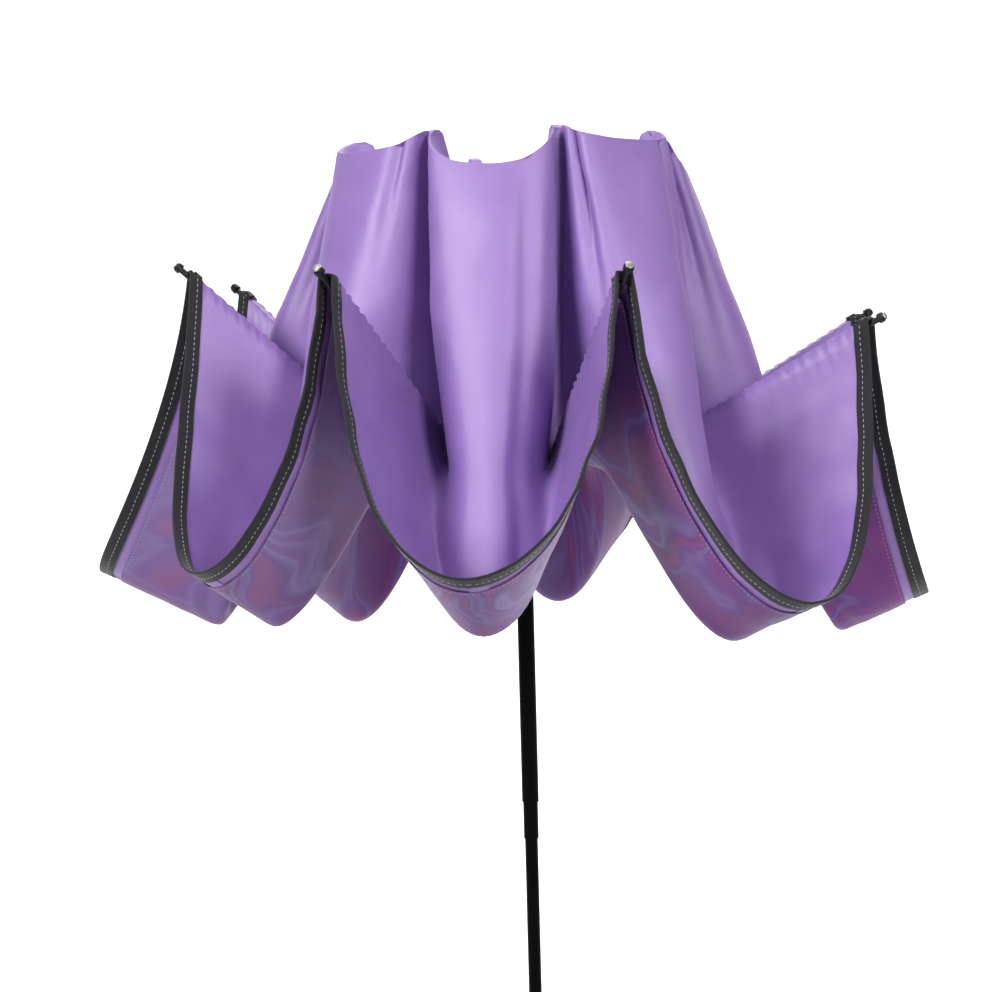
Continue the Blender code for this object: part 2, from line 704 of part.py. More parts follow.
def middle_rib_mesh():
    """Channel with a pinned blade at the elbow and a fork at the knee."""
    inner_half = BLADE_THICKNESS / 2 + GAP
    pin_half = inner_half + CHEEK_THICKNESS
    end = MIDDLE_LENGTH - EYE_RADIUS - CHEEK_THICKNESS
    start_z = offset_at(BAR_START, MIDDLE_OFFSET_AT_ELBOW, -MIDDLE_DROP_AT_KNEE, MIDDLE_LENGTH)
    end_z = offset_at(end, MIDDLE_OFFSET_AT_ELBOW, -MIDDLE_DROP_AT_KNEE, MIDDLE_LENGTH)
    bar = channel(BAR_START, end, start_z, end_z, CHANNEL_WIDTH, CHANNEL_HEIGHT, False)
    blade_half = CHANNEL_HEIGHT / 2 - FACE_STEP
    blade = lug(0, BLADE_SHANK, start_z, BLADE_THICKNESS / 2, EYE_RADIUS, blade_half)
    pin = rod_along_y(PIN_RADIUS, pin_half)
    root = CHANNEL_HEIGHT / 2 + FACE_STEP
    cheeks = fork_lugs(MIDDLE_LENGTH, MIDDLE_LENGTH - CHEEK_SHANK, end_z, inner_half, EYE_RADIUS, root)
    hole = hole_along_y(PIN_RADIUS, GAP, CHANNEL_WIDTH, MIDDLE_LENGTH)
    return combined("middle_rib", bar, [blade, pin, *cheeks], [hole])


def outer_rib_mesh():
    """Tapered round rod with a pinned blade at the knee."""
    pin_half = BLADE_THICKNESS / 2 + GAP + CHEEK_THICKNESS
    start_z = offset_at(BAR_START, -OUTER_DROP_AT_KNEE, 0, OUTER_LENGTH)
    rod = round_rod((BAR_START, start_z), (OUTER_LENGTH, 0), ROD_RADIUS, ROD_TIP_RADIUS)
    blade = lug(0, BLADE_SHANK, start_z, BLADE_THICKNESS / 2, EYE_RADIUS, ROD_RADIUS - FACE_STEP)
    pin = rod_along_y(PIN_RADIUS, pin_half)
    return combined("outer_rib", rod, [blade, pin])


def stretcher_mesh():
    """Wide channel with a wire eye at the runner and open cheeks round the stretcher pin."""
    eye_radius = PIN_RADIUS + OPEN_PIVOT_PLAY + CHEEK_THICKNESS
    end = STRETCHER_LENGTH - eye_radius
    start = STRETCHER_BAR_START
    start_z = offset_at(start, 0, -STRETCHER_DROP_AT_SEAT, STRETCHER_LENGTH)
    end_z = offset_at(end, 0, -STRETCHER_DROP_AT_SEAT, STRETCHER_LENGTH)
    bar = channel(start, end, start_z, end_z, STRETCHER_WIDTH, STRETCHER_HEIGHT, False)
    eye_half = STRETCHER_HEIGHT / 2 - FACE_STEP
    eye = lug(0, EYE_SHANK + CHANNEL_WALL, start_z, BLADE_THICKNESS / 2, END_EYE_RADIUS, eye_half)
    inner_half = STRETCHER_WIDTH / 2 - CHANNEL_WALL / 2
    root = STRETCHER_HEIGHT / 2 + FACE_STEP
    shank = STRETCHER_LENGTH - CHEEK_SHANK
    cheeks = fork_lugs(STRETCHER_LENGTH, shank, end_z, inner_half, eye_radius, root)
    holes = [
        hole_along_y(HINGE_WIRE / 2, GAP, BLADE_THICKNESS),
        hole_along_y(PIN_RADIUS, OPEN_PIVOT_PLAY, STRETCHER_WIDTH, STRETCHER_LENGTH),
    ]
    return combined("stretcher", bar, [eye, *cheeks], holes)


def tip_cap_mesh():
    """Mushroom cap whose socket takes the end of an outer rib."""
    bore = ROD_TIP_RADIUS + GAP
    root = OUTER_LENGTH - TIP_SOCKET_DEPTH
    end = root + TIP_LENGTH
    shoulder = end - TIP_HEAD_LENGTH
    profile = [
        (TIP_NECK_RADIUS, root),
        (TIP_NECK_RADIUS, shoulder),
        (TIP_HEAD_RADIUS, shoulder + GAP),
        (TIP_HEAD_RADIUS, end - TIP_DOME),
        (TIP_NECK_RADIUS, end),
        (0, end),
        (0, OUTER_LENGTH + GAP),
        (bore, OUTER_LENGTH + GAP),
        (bore, root),
    ]
    mesh = turned("tip_cap", profile, TIP_SIDES)
    mesh.transform(Matrix.Rotation(math.radians(90), 4, "Y"))
    return mesh


def build_chains():
    """Eight chains of inner, middle and outer ribs with stretchers and caps."""
    meshes = {
        "inner_rib": inner_rib_mesh(),
        "middle_rib": middle_rib_mesh(),
        "outer_rib": outer_rib_mesh(),
        "stretcher": stretcher_mesh(),
        "tip_cap": tip_cap_mesh(),
    }
    finishes = {
        "inner_rib": BRIGHT_STEEL,
        "middle_rib": BRIGHT_STEEL,
        "outer_rib": MOULDED,
        "stretcher": PAINTED_STEEL,
        "tip_cap": MOULDED,
    }
    for rib in range(RIBS):
        notch, elbow, knee = joint_places(rib)[:3]
        lift = math.radians(OUTER_ANGLE + OUTER_LIFTS[rib])
        seat = (RUNNER_PIVOT_RADIUS, runner_height())
        places = {
            "inner_rib": chain_frame(rib, *notch, math.radians(INNER_ANGLE)),
            "middle_rib": chain_frame(rib, *elbow, math.radians(MIDDLE_ANGLE)),
            "outer_rib": chain_frame(rib, *knee, lift),
            "stretcher": chain_frame(rib, *seat, stretcher_elevation()),
            "tip_cap": chain_frame(rib, *knee, lift),
        }
        for kind, mesh in meshes.items():
            name = f"{kind}_{rib + 1}"
            add_object(name, mesh.copy(), finishes[kind], places[kind])


def left_of(degrees):
    """Unit (radius, height) normal on the left of a direction."""
    angle = math.radians(degrees)
    return Vector((-math.sin(angle), math.cos(angle)))


def along(degrees):
    """Unit (radius, height) direction."""
    angle = math.radians(degrees)
    return Vector((math.cos(angle), math.sin(angle)))


def crossing(degrees_in, degrees_out, height):
    """Where two lines set off to the left by a height meet, from their corner."""
    halfway = left_of(degrees_in) + left_of(degrees_out)
    return halfway * (2 * height / halfway.length_squared)


def eye_height():
    """Distance of a cloth's middle from a pivot line that clears the eyes."""
    return EYE_RADIUS + CLOTH_CLEARANCE + CLOTH_THICKNESS / 2


def canopy_rib_path(rib):
    """Rows of the canopy over one rib, as (radius, height) from crown to hem."""
    notch, elbow, knee, tip = [Vector(place) for place in joint_places(rib)]
    outer = OUTER_ANGLE + OUTER_LIFTS[rib]
    cover = CHANNEL_HEIGHT / 2 + CLOTH_CLEARANCE + CLOTH_THICKNESS / 2
    over = cover + INNER_OFFSET_AT_ELBOW
    mean = (left_of(INNER_ANGLE) + left_of(MIDDLE_ANGLE)).normalized()
    fold = knee + crossing(MIDDLE_ANGLE, outer, eye_height())
    tip_over = tip + left_of(outer) * (TIP_NECK_RADIUS + CLOTH_CLEARANCE + CLOTH_THICKNESS / 2)
    return [
        notch + along(INNER_ANGLE) * CLOTH_START + left_of(INNER_ANGLE) * cover,
        notch + along(INNER_ANGLE) * (INNER_LENGTH / 2) + left_of(INNER_ANGLE) * (cover + over) / 2,
        elbow + left_of(INNER_ANGLE) * over,
        elbow + mean * over,
        elbow + left_of(MIDDLE_ANGLE) * over,
        (elbow + left_of(MIDDLE_ANGLE) * over + fold) / 2,
        fold,
        fold.lerp(tip_over, 1 / 3),
        fold.lerp(tip_over, 2 / 3),
        tip_over,
    ]


def lining_rib_path(rib):
    """Rows of the lining under one rib, from the tower's inside to the hem seam."""
    elbow, knee, tip = [Vector(place) for place in joint_places(rib)[1:]]
    outer = OUTER_ANGLE + OUTER_LIFTS[rib]
    under = ROD_RADIUS + OUTER_DROP_AT_KNEE + CLOTH_CLEARANCE + CLOTH_THICKNESS / 2
    first = CHANNEL_HEIGHT / 2 + CLOTH_CLEARANCE + CLOTH_THICKNESS / 2
    tip_under = tip - left_of(outer) * (TIP_NECK_RADIUS + CLOTH_CLEARANCE + CLOTH_THICKNESS / 2)
    elbow_side = elbow - left_of(MIDDLE_ANGLE) * first
    side = knee - left_of(MIDDLE_ANGLE) * under
    below = knee - left_of(outer) * under
    bottom = knee - (left_of(MIDDLE_ANGLE) + left_of(outer)).normalized() * under
    return [
        elbow_side.lerp(side, LINING_START_SHARE),
        elbow_side.lerp(side, 1 / 2),
        side,
        bottom,
        below,
        below.lerp(tip_under, 1 / 3 - TURN_SHARE),
        below.lerp(tip_under, 1 / 3 + TURN_SHARE),
        below.lerp(tip_under, 2 / 3),
        below.lerp(tip_under, (2 + SEAM_SHARE) / 3),
    ]


def gore_mid(gore):
    """Places of rim, bottom fold and hem valley at a gore's middle."""
    rim_radius = RIM_RADIUS * RIM_RADIUS_SHARES[gore]
    rim = Vector((rim_radius, NOTCH_HEIGHT + RIM_HEIGHT * RIM_HEIGHT_SHARES[gore]))
    fold_radius = FOLD_RADIUS * FOLD_RADIUS_SHARES[gore]
    fold = Vector((fold_radius, NOTCH_HEIGHT - FOLD_DROP * FOLD_DROP_SHARES[gore]))
    hem_radius = HEM_RADIUS * HEM_RADIUS_SHARES[gore]
    hem = Vector((hem_radius, NOTCH_HEIGHT - HEM_DROP * HEM_DROP_SHARES[gore]))
    return rim, fold, hem


def canopy_mid_path(gore):
    """Rows of the canopy at a gore's middle."""
    rim, fold, hem = gore_mid(gore)
    start = Vector((MID_START_RADIUS, NOTCH_HEIGHT + MID_START_HEIGHT))
    level_rim = Vector((RIM_RADIUS, NOTCH_HEIGHT + RIM_HEIGHT))
    lap = Vector((RIM_LAP, 0))
    return [
        start,
        (start + level_rim) / 2 - lap,
        rim - lap,
        rim,
        rim + lap,
        rim.lerp(fold, 1 / 3),
        rim.lerp(fold, 2 / 3),
        fold,
        (fold + hem) / 2,
        hem,
    ]


def lining_mid_path(gore):
    """Rows of the lining at a gore's middle, one step under the canopy."""
    rim, fold, hem = gore_mid(gore)
    down = (fold - rim).normalized()
    up = (hem - fold).normalized()
    inside = Vector((down[1], -down[0])) * LINING_STEP
    below = Vector((up[1], -up[0])) * LINING_STEP
    return [
        rim.lerp(fold, LINING_START_SHARE * 2 / 3) + inside,
        rim.lerp(fold, 1 / 3) + inside,
        rim.lerp(fold, 2 / 3) + inside,
        rim.lerp(fold, 2 / 3 + TURN_SHARE) + inside,
        rim.lerp(fold, 2 / 3 + 2 * TURN_SHARE) + inside,
        fold + inside,
        fold + below,
        (fold + hem) / 2 + below,
        fold.lerp(hem, (1 + SEAM_SHARE) / 2) + below,
    ]


def half_section(rib_place, mid_place, flat_half, form):
    """Places from beside a rib to just before a gore's middle, in gore coordinates."""
    half_angle = math.pi / RIBS
    radius, height = rib_place
    flat = Vector((radius * math.cos(half_angle) + flat_half * math.sin(half_angle),
                   radius * math.sin(half_angle) - flat_half * math.cos(half_angle), height))
    middle = Vector((mid_place[0], 0, mid_place[1]))
    reach = middle - flat
    hang, width, spread, drop, shift = form
    lobe = Vector((reach[0] * LOBE_REACH_SHARE, reach[0] * spread, reach[2] * drop))
    drape = Vector((reach[0] * HANG_REACH_SHARE, 0, reach[2] * HANG_DROP_SHARE))
    leave = flat + lobe.lerp(drape, hang)
    arrive = middle + Vector((0, flat[1] * width + shift, 0))
    places = []
    for i in range(HALF_STEPS):
        t = i / HALF_STEPS
        s = 1 - t
        places.append(flat * s**3 + leave * (3 * s * s * t) + arrive * (3 * s * t * t) + middle * t**3)
    return places, middle


def sheet_rings(rib_paths, mid_paths, flats, forms):
    """Rings of places right round the shaft, one for each row of a cloth."""
    rings = []
    for row, (flat, form) in enumerate(zip(flats, forms)):
        ring = []
        for gore in range(RIBS):
            turn = Matrix.Rotation(azimuth(gore + 0.5) - math.radians(90), 4, "Z")
            after = (gore + 1) % RIBS
            mid_place = mid_paths[gore][row]
            first, middle = half_section(rib_paths[gore][row], mid_place, flat, form)
            second, middle = half_section(rib_paths[after][row], mid_place, flat, form)
            mirrored = [Vector((p[0], -p[1], p[2])) for p in first]
            ring += [turn @ p for p in mirrored + [middle] + second[::-1]]
        rings.append(ring)
    return rings


def sheet_mesh(name, rings, thickness):
    """A closed sheet of even thickness about rings of places."""
    bm = bmesh.new()
    rows = [[bm.verts.new(p) for p in ring] for ring in rings]
    count = len(rows[0])
    for low, high in zip(rows, rows[1:]):
        for i in range(count):
            j = (i + 1) % count
            if (low[i].co - high[j].co).length < (low[j].co - high[i].co).length:
                bm.faces.new((low[i], low[j], high[j]))
                bm.faces.new((low[i], high[j], high[i]))
            else:
                bm.faces.new((low[i], low[j], high[i]))
                bm.faces.new((low[j], high[j], high[i]))
    bm.normal_update()
    offsets = {}
    for vert in bm.verts:
        mitre = min(vert.calc_shell_factor(), MITRE_LIMIT_SHARE)
        offsets[vert] = vert.normal * (mitre * thickness / 2)
    twins = {}
    for vert, offset in offsets.items():
        twins[vert] = bm.verts.new(vert.co - offset)
        vert.co = vert.co + offset
    for face in list(bm.faces):
        bm.faces.new([twins[v] for v in reversed(face.verts)])
    for row, flip in ((rows[0], False), (rows[-1], True)):
        for i in range(count):
            j = (i + 1) % count
            corners = (row[i], twins[row[i]], twins[row[j]], row[j])
            bm.faces.new(corners[::-1] if flip else corners)
    return to_mesh(name, bm)


def build_cloth():
    """Canopy, lining, hem binding and the plain patch."""
    ribs = range(RIBS)
    canopy_ribs = [canopy_rib_path(rib) for rib in ribs]
    canopy_mids = [canopy_mid_path(gore) for gore in ribs]
    lining_ribs = [lining_rib_path(rib) for rib in ribs]
    lining_mids = [lining_mid_path(gore) for gore in ribs]
    widen = HANG_FLAT_HALF - TOP_FLAT_HALF
    canopy_flats = [TOP_FLAT_HALF + widen * share for share in CANOPY_FLAT_SHARES]
    canopy_flats[0] = CLOTH_START_FLAT
    lining_flats = [TOP_FLAT_HALF + widen * share for share in LINING_FLAT_SHARES]
    lining_shifts = [LINING_STEP * share for share in LINING_SHIFT_SHARES]
    canopy_shifts = [0] * len(canopy_flats)
    canopy_forms = zip(CANOPY_HANG_SHARES, CANOPY_WIDTH_SHARES, CANOPY_SPREAD_SHARES,
                       CANOPY_DROP_SHARES, canopy_shifts)
    rings = sheet_rings(canopy_ribs, canopy_mids, canopy_flats, canopy_forms)
    hem = rings[-1]
    before = rings[-2]
    tape = [[], []]
    for inner, outer in zip(before, hem):
        back = (inner - outer).normalized()
        tape[0].append(outer + back * TAPE_WIDTH)
        tape[1].append(outer)
    rings[-1] = [place + (inner - place).normalized() * GAP for place, inner in zip(tape[0], before)]
    add_object("canopy", sheet_mesh("canopy", rings, CLOTH_THICKNESS), SATIN)
    add_object("hem_binding", sheet_mesh("hem_binding", tape, TAPE_THICKNESS), WOVEN_TAPE)
    lining_forms = zip(LINING_HANG_SHARES, LINING_WIDTH_SHARES, LINING_SPREAD_SHARES,
                       LINING_DROP_SHARES, lining_shifts)
    rings = sheet_rings(lining_ribs, lining_mids, lining_flats, lining_forms)
    add_object("lining", sheet_mesh("lining", rings, CLOTH_THICKNESS), PRINTED_CLOTH)
    build_patch(rings)


def build_patch(rings):
    """A small bare patch on the outside of the lining, flat against one facet."""
    column = PATCH_GORE * (2 * HALF_STEPS + 1) + PATCH_COLUMN
    low, high = rings[PATCH_ROW], rings[PATCH_ROW + 1]
    near = low[column].lerp(high[column], PATCH_ALONG_SHARE)
    far = low[column + 1].lerp(high[column + 1], PATCH_ALONG_SHARE)
    across = (far - near).normalized()
    facing = across.cross(high[column] - low[column]).normalized()
    lift = CLOTH_THICKNESS / 2 + CLOTH_CLEARANCE + PATCH_THICKNESS / 2
    centre = near.lerp(far, PATCH_ACROSS_SHARE) - facing * lift
    axes = Matrix((across, facing.cross(across), facing)).transposed().to_4x4()
    size = Matrix.Diagonal((PATCH_WIDTH, PATCH_HEIGHT, PATCH_THICKNESS, 1))
    bm = bmesh.new()
    bmesh.ops.create_cube(bm, size=1, matrix=axes @ size)
    add_object("label", to_mesh("label", bm), WOVEN_TAPE, Matrix.Translation(centre))


def build():
    """Build the whole umbrella."""
    clear_scene()
    build_handle()
    build_button()
    build_shaft()
    build_crown_and_runner()
    build_chains()
    build_cloth()


build()
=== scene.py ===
# %% [markdown]
# # A reverse folding umbrella, half closed
#
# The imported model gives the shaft, crown, runner, ribs and tip caps as rigid pieces.
# This lesson dresses it: the two cloths, the bound hem with its stitches, the small
# moulded details, and a procedural finish for every piece. All lengths are in metres.

# %% Load the frame
import math

import bmesh
import bpy
import numpy as np
from mathutils import Matrix, Vector, noise


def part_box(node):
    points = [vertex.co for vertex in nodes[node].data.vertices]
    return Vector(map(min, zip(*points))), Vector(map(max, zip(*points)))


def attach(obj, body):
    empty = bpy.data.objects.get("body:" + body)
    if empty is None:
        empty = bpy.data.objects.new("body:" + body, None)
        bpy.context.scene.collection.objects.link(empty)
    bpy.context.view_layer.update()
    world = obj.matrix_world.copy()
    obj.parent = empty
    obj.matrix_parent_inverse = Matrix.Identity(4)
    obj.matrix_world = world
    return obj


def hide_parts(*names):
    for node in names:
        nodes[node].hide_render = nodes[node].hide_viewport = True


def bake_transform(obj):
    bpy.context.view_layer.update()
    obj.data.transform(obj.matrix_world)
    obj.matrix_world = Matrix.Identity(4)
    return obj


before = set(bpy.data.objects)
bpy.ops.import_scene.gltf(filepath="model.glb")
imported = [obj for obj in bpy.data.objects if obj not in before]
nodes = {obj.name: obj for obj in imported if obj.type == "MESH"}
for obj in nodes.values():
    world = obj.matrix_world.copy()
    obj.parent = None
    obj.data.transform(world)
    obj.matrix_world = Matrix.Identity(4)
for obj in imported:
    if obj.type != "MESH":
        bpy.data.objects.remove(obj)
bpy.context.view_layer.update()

# %% [markdown]
# ## Where the camera stands
#
# The photograph looks at the shaft almost level, from about a metre and a half away,
# and the whole umbrella leans by a degree and a half. The umbrella stays upright here,
# so the camera rolls instead. A long lens keeps the near and far tips alike in size.

# %% Camera
CROWN_HEIGHT = 0.482
CAMERA_DISTANCE = 1.55
CAMERA_ELEVATION = math.radians(2.0)
CAMERA_ROLL = math.radians(-1.5)
CAMERA_LENS = 90.6
CAMERA_TARGET = Vector((-0.0165, 0, CROWN_HEIGHT - 0.0500))


def put(name, data, matrix=Matrix()):
    """An object in the scene, at a place."""
    thing = bpy.data.objects.new(name, data)
    bpy.context.scene.collection.objects.link(thing)
    thing.matrix_world = matrix
    return thing


def looking(place, aim):
    """A matrix at a place that looks at the aim."""
    turn = (Vector(aim) - Vector(place)).to_track_quat("-Z", "Y")
    return Matrix.Translation(place) @ turn.to_matrix().to_4x4()


lens = bpy.data.cameras.new("camera")
lens.lens = CAMERA_LENS
back = Vector((0, -math.cos(CAMERA_ELEVATION), math.sin(CAMERA_ELEVATION)))
view = looking(CAMERA_TARGET + back * CAMERA_DISTANCE, CAMERA_TARGET)
camera = put("camera", lens, view @ Matrix.Rotation(CAMERA_ROLL, 4, "Z"))
bpy.context.scene.camera = camera
print("camera at", [round(value, 3) for value in camera.location])

# %% [markdown]
# ## Soft studio light
#
# The photograph is a product shot on white. A pale floor sweeps up into a wall behind the
# object. The key light stands high in front and to the left, so the folds of the satin
# model from that side. A second one in front to the right opens the swags, a weak fill
# comes from the right and a faint one from above. A wide light keeps the wall white.

# %% Floor and lights
FLOOR_SIZE = 3.2
SWEEP_RADIUS = 1.1
SWEEP_STEPS = 24
WALL_HEIGHT = 2.2
FLOOR_DROP = 0.0004


def finished(bm, name):
    """The smooth mesh that a bmesh has made."""
    mesh = bpy.data.meshes.new(name)
    bm.to_mesh(mesh)
    bm.free()
    mesh.shade_smooth()
    return mesh


def add_floor(finish):
    """A level floor that sweeps up into a wall, drawn as a line and pulled sideways."""
    turns = np.linspace(-math.pi / 2, 0, SWEEP_STEPS + 1)
    middle = FLOOR_SIZE - SWEEP_RADIUS
    sweep = [(middle + SWEEP_RADIUS * math.cos(t), SWEEP_RADIUS * (1 + math.sin(t))) for t in turns]
    line = [(-FLOOR_SIZE, 0), *sweep, (FLOOR_SIZE, SWEEP_RADIUS + WALL_HEIGHT)]
    bm = bmesh.new()
    verts = [bm.verts.new((FLOOR_SIZE, y, z - FLOOR_DROP)) for y, z in line]
    edges = [bm.edges.new(pair) for pair in zip(verts, verts[1:])]
    grown = bmesh.ops.extrude_edge_only(bm, edges=edges)["geom"]
    moved = [item for item in grown if isinstance(item, bmesh.types.BMVert)]
    bmesh.ops.translate(bm, verts=moved, vec=(-2 * FLOOR_SIZE, 0, 0))
    mesh = finished(bm, "floor")
    mesh.materials.append(finish)
    put("floor", mesh)


def add_light(name, place, aim, size, power, spread=70):
    data = bpy.data.lights.new(name, "AREA")
    data.spread = math.radians(spread)
    data.shape = "RECTANGLE"
    data.size, data.size_y = size
    data.energy = power
    put(name, data, looking(place, aim))


floor_finish = bpy.data.materials.new("pale_floor")
floor_finish.use_nodes = True
floor_look = floor_finish.node_tree.nodes["Principled BSDF"].inputs
floor_look["Base Color"].default_value = (0.84, 0.84, 0.85, 1)
floor_look["Roughness"].default_value = 0.9
add_floor(floor_finish)

AIM = (0, 0, 0.45)
add_light("key", (-1.25, -1.45, 1.35), AIM, (0.7, 0.7), 6.4)
add_light("front", (0.90, -1.75, 1.10), AIM, (0.5, 0.5), 3.1)
add_light("fill", (1.7, -1.0, 0.9), AIM, (0.6, 0.6), 1.1)
add_light("top", (0.1, -0.1, 1.9), AIM, (0.9, 0.9), 0.8)
add_light("wall", (0.0, 1.0, 2.2), (0, 2.4, 0.7), (3.0, 0.8), 130, 180)

world = bpy.data.worlds.new("studio")
world.use_nodes = True
background = world.node_tree.nodes["Background"].inputs
background["Color"].default_value = (1.0, 1.0, 1.0, 1)
background["Strength"].default_value = 0.10
bpy.context.scene.world = world
bpy.context.scene.view_settings.view_transform = "Standard"
print("stage: floor, 5 lights")

# %% [markdown]
# ## Shader maths as plain expressions
#
# Procedural finishes are sums and products of a few textures. A small class wraps a
# socket, so that `weave * 0.4 + grain` adds the Math nodes by itself, and one method
# makes any other node from its type, its inputs and its settings.

# %% The socket class


class Wave:
    """A value in a shader, which can be added, subtracted and multiplied."""

    def __init__(self, tree, socket):
        self.tree = tree
        self.socket = socket

    def node(self, kind, inputs=None, output=0, **settings):
        made = self.tree.nodes.new(kind)
        for name, value in settings.items():
            setattr(made, name, value)
        for key, value in (inputs or {}).items():
            if isinstance(value, Wave):
                self.tree.links.new(value.socket, made.inputs[key])
            else:
                made.inputs[key].default_value = value
        return Wave(self.tree, made.outputs[output])

    def maths(self, operation, first, second=0.0):
        return self.node("ShaderNodeMath", {0: first, 1: second}, operation=operation)

    def __add__(self, other):
        return self.maths("ADD", self, other)

    __radd__ = __add__

    def __mul__(self, other):
        return self.maths("MULTIPLY", self, other)

    __rmul__ = __mul__

    def __sub__(self, other):
        return self.maths("SUBTRACT", self, other)

    def __rsub__(self, other):
        return self.maths("SUBTRACT", other, self)

    def sine(self):
        return self.maths("SINE", self)


def set_stops(ramp, stops):
    """Colours of a ramp whose first and last stop stand at 0 and 1."""
    for place, _ in stops[1:-1]:
        ramp.elements.new(place)
    for element, (_, colour) in zip(ramp.elements, stops):
        element.color = colour


def mixed(share, first, second):
    """A colour between two, by a share."""
    return share.node("ShaderNodeMix", {0: share, 6: first, 7: second}, 2, data_type="RGBA")


def socket_name(key):
    """specular_ior_level becomes Specular IOR Level."""
    return key.replace("_", " ").title().replace("Ior", "IOR")


class Finish:
    """One procedural material and its Principled shader."""

    def __init__(self, name, **constants):
        self.material = bpy.data.materials.new(name)
        self.material.use_nodes = True
        self.tree = self.material.node_tree
        self.shader = self.tree.nodes["Principled BSDF"]
        for key, value in constants.items():
            self.shader.inputs[socket_name(key)].default_value = value
        self.node = Wave(self.tree, None).node

    def place(self, scale=(1, 1, 1), source="Object"):
        """Object or UV coordinates, stretched by a Mapping node."""
        spot = self.node("ShaderNodeTexCoord", output={"Object": 3, "UV": 2}[source])
        return self.node("ShaderNodeMapping", {"Vector": spot, "Scale": scale})

    def parts(self, where):
        """The X and the Y of a vector."""
        outputs = self.node("ShaderNodeSeparateXYZ", {0: where}).socket.node.outputs
        return Wave(self.tree, outputs[0]), Wave(self.tree, outputs[1])

    def noise(self, where, scale, detail=2.0, rough=0.6, distortion=0.0, output=0):
        return self.node("ShaderNodeTexNoise", {"Vector": where, "Scale": scale, "Detail": detail,
                                                "Roughness": rough, "Distortion": distortion}, output)

    def vector(self, operation, first, second, key=1):
        return self.node("ShaderNodeVectorMath", {0: first, key: second}, operation=operation)

    def paint(self, **varying):
        for key, value in varying.items():
            self.tree.links.new(value.socket, self.shader.inputs[socket_name(key)])

    def bump(self, height, depth, strength):
        inputs = {"Height": height, "Distance": depth, "Strength": strength}
        self.paint(normal=self.node("ShaderNodeBump", inputs))


print("shader helpers ready")

# %% [markdown]
# ## Lavender satin
#
# The wet side is a polyester satin: a broad silky highlight, a colour that varies a
# little, and a weave so fine that it only shows as a grain. Threads follow the cloth, so
# the weave is drawn on the UV map, whose unit is one metre of cloth.

# %% Satin finish


def srgb(text):
    """A linear colour from two hex digits for each of red, green and blue."""
    values = [int(text[i:i + 2], 16) / 255 for i in (0, 2, 4)]
    return (*(v / 12.92 if v <= 0.04045 else ((v + 0.055) / 1.055) ** 2.4 for v in values), 1)


THREADS_PER_METRE = 14000
LAVENDER = srgb("9574B8")
LAVENDER_DEEP = srgb("7F60A6")


def woven_bump(finish, grain):
    """Warp and weft as two crossed sine waves on the UV map, with a grain over them."""
    across, along = finish.parts(finish.place((THREADS_PER_METRE,) * 3, "UV"))
    finish.bump(across.sine() * 0.5 + along.sine() * 0.3 + grain * 0.8, 0.00006, 0.35)


def satin_finish():
    finish = Finish("lavender_satin", sheen_weight=0.20, sheen_roughness=0.4,
                    specular_ior_level=0.80)
    finish.shader.inputs["Sheen Tint"].default_value = srgb("D9C8F2")
    spot = finish.place()
    mottle = finish.noise(spot, 46, 4)
    grain = finish.noise(spot, 900)
    share = mottle * 0.7 + grain * 0.3
    finish.paint(base_color=mixed(share, LAVENDER_DEEP, LAVENDER),
                 roughness=mottle * 0.16 + 0.38)
    woven_bump(finish, grain)
    return finish.material


satin = satin_finish()
print("finish:", satin.name)

# %% [markdown]
# ## Marbled lining
#
# The lining carries a flowing marbled print: plum and rose bands, violet pools and pale
# grey-lavender veins. Real marbling is paint dragged over a bath, and a noise texture
# whose coordinates are bent by a second noise gives the same long swirls. The layout is
# the lesson's own. Each panel is painted paler toward one edge: painted light on one wall
# of every tent. All of it follows the UV map, so it stays on the cloth as the ribs fold.

# %% Marbled finish
PRINT_PLACES = (0.00, 0.18, 0.32, 0.42, 0.49, 0.55, 0.64, 0.74, 0.84, 0.92, 1.00)
PRINT_COLOURS = ("4E2474", "662A76", "7A3678", "644086", "74629A", "64388A",
                 "84386E", "60286E", "68568F", "8478AA", "6E4088")
# The ground is the print's faded colour. The pale colour and its reach are painted light on one edge
# of each panel.
PRINT_GROUND, PAINTED_LIGHT_PALE = srgb("683A7E"), srgb("A69CC4")
PAINTED_LIGHT_START, PAINTED_LIGHT_RISE, PAINTED_LIGHT_SHARE = 0.20, 6.0, 0.42


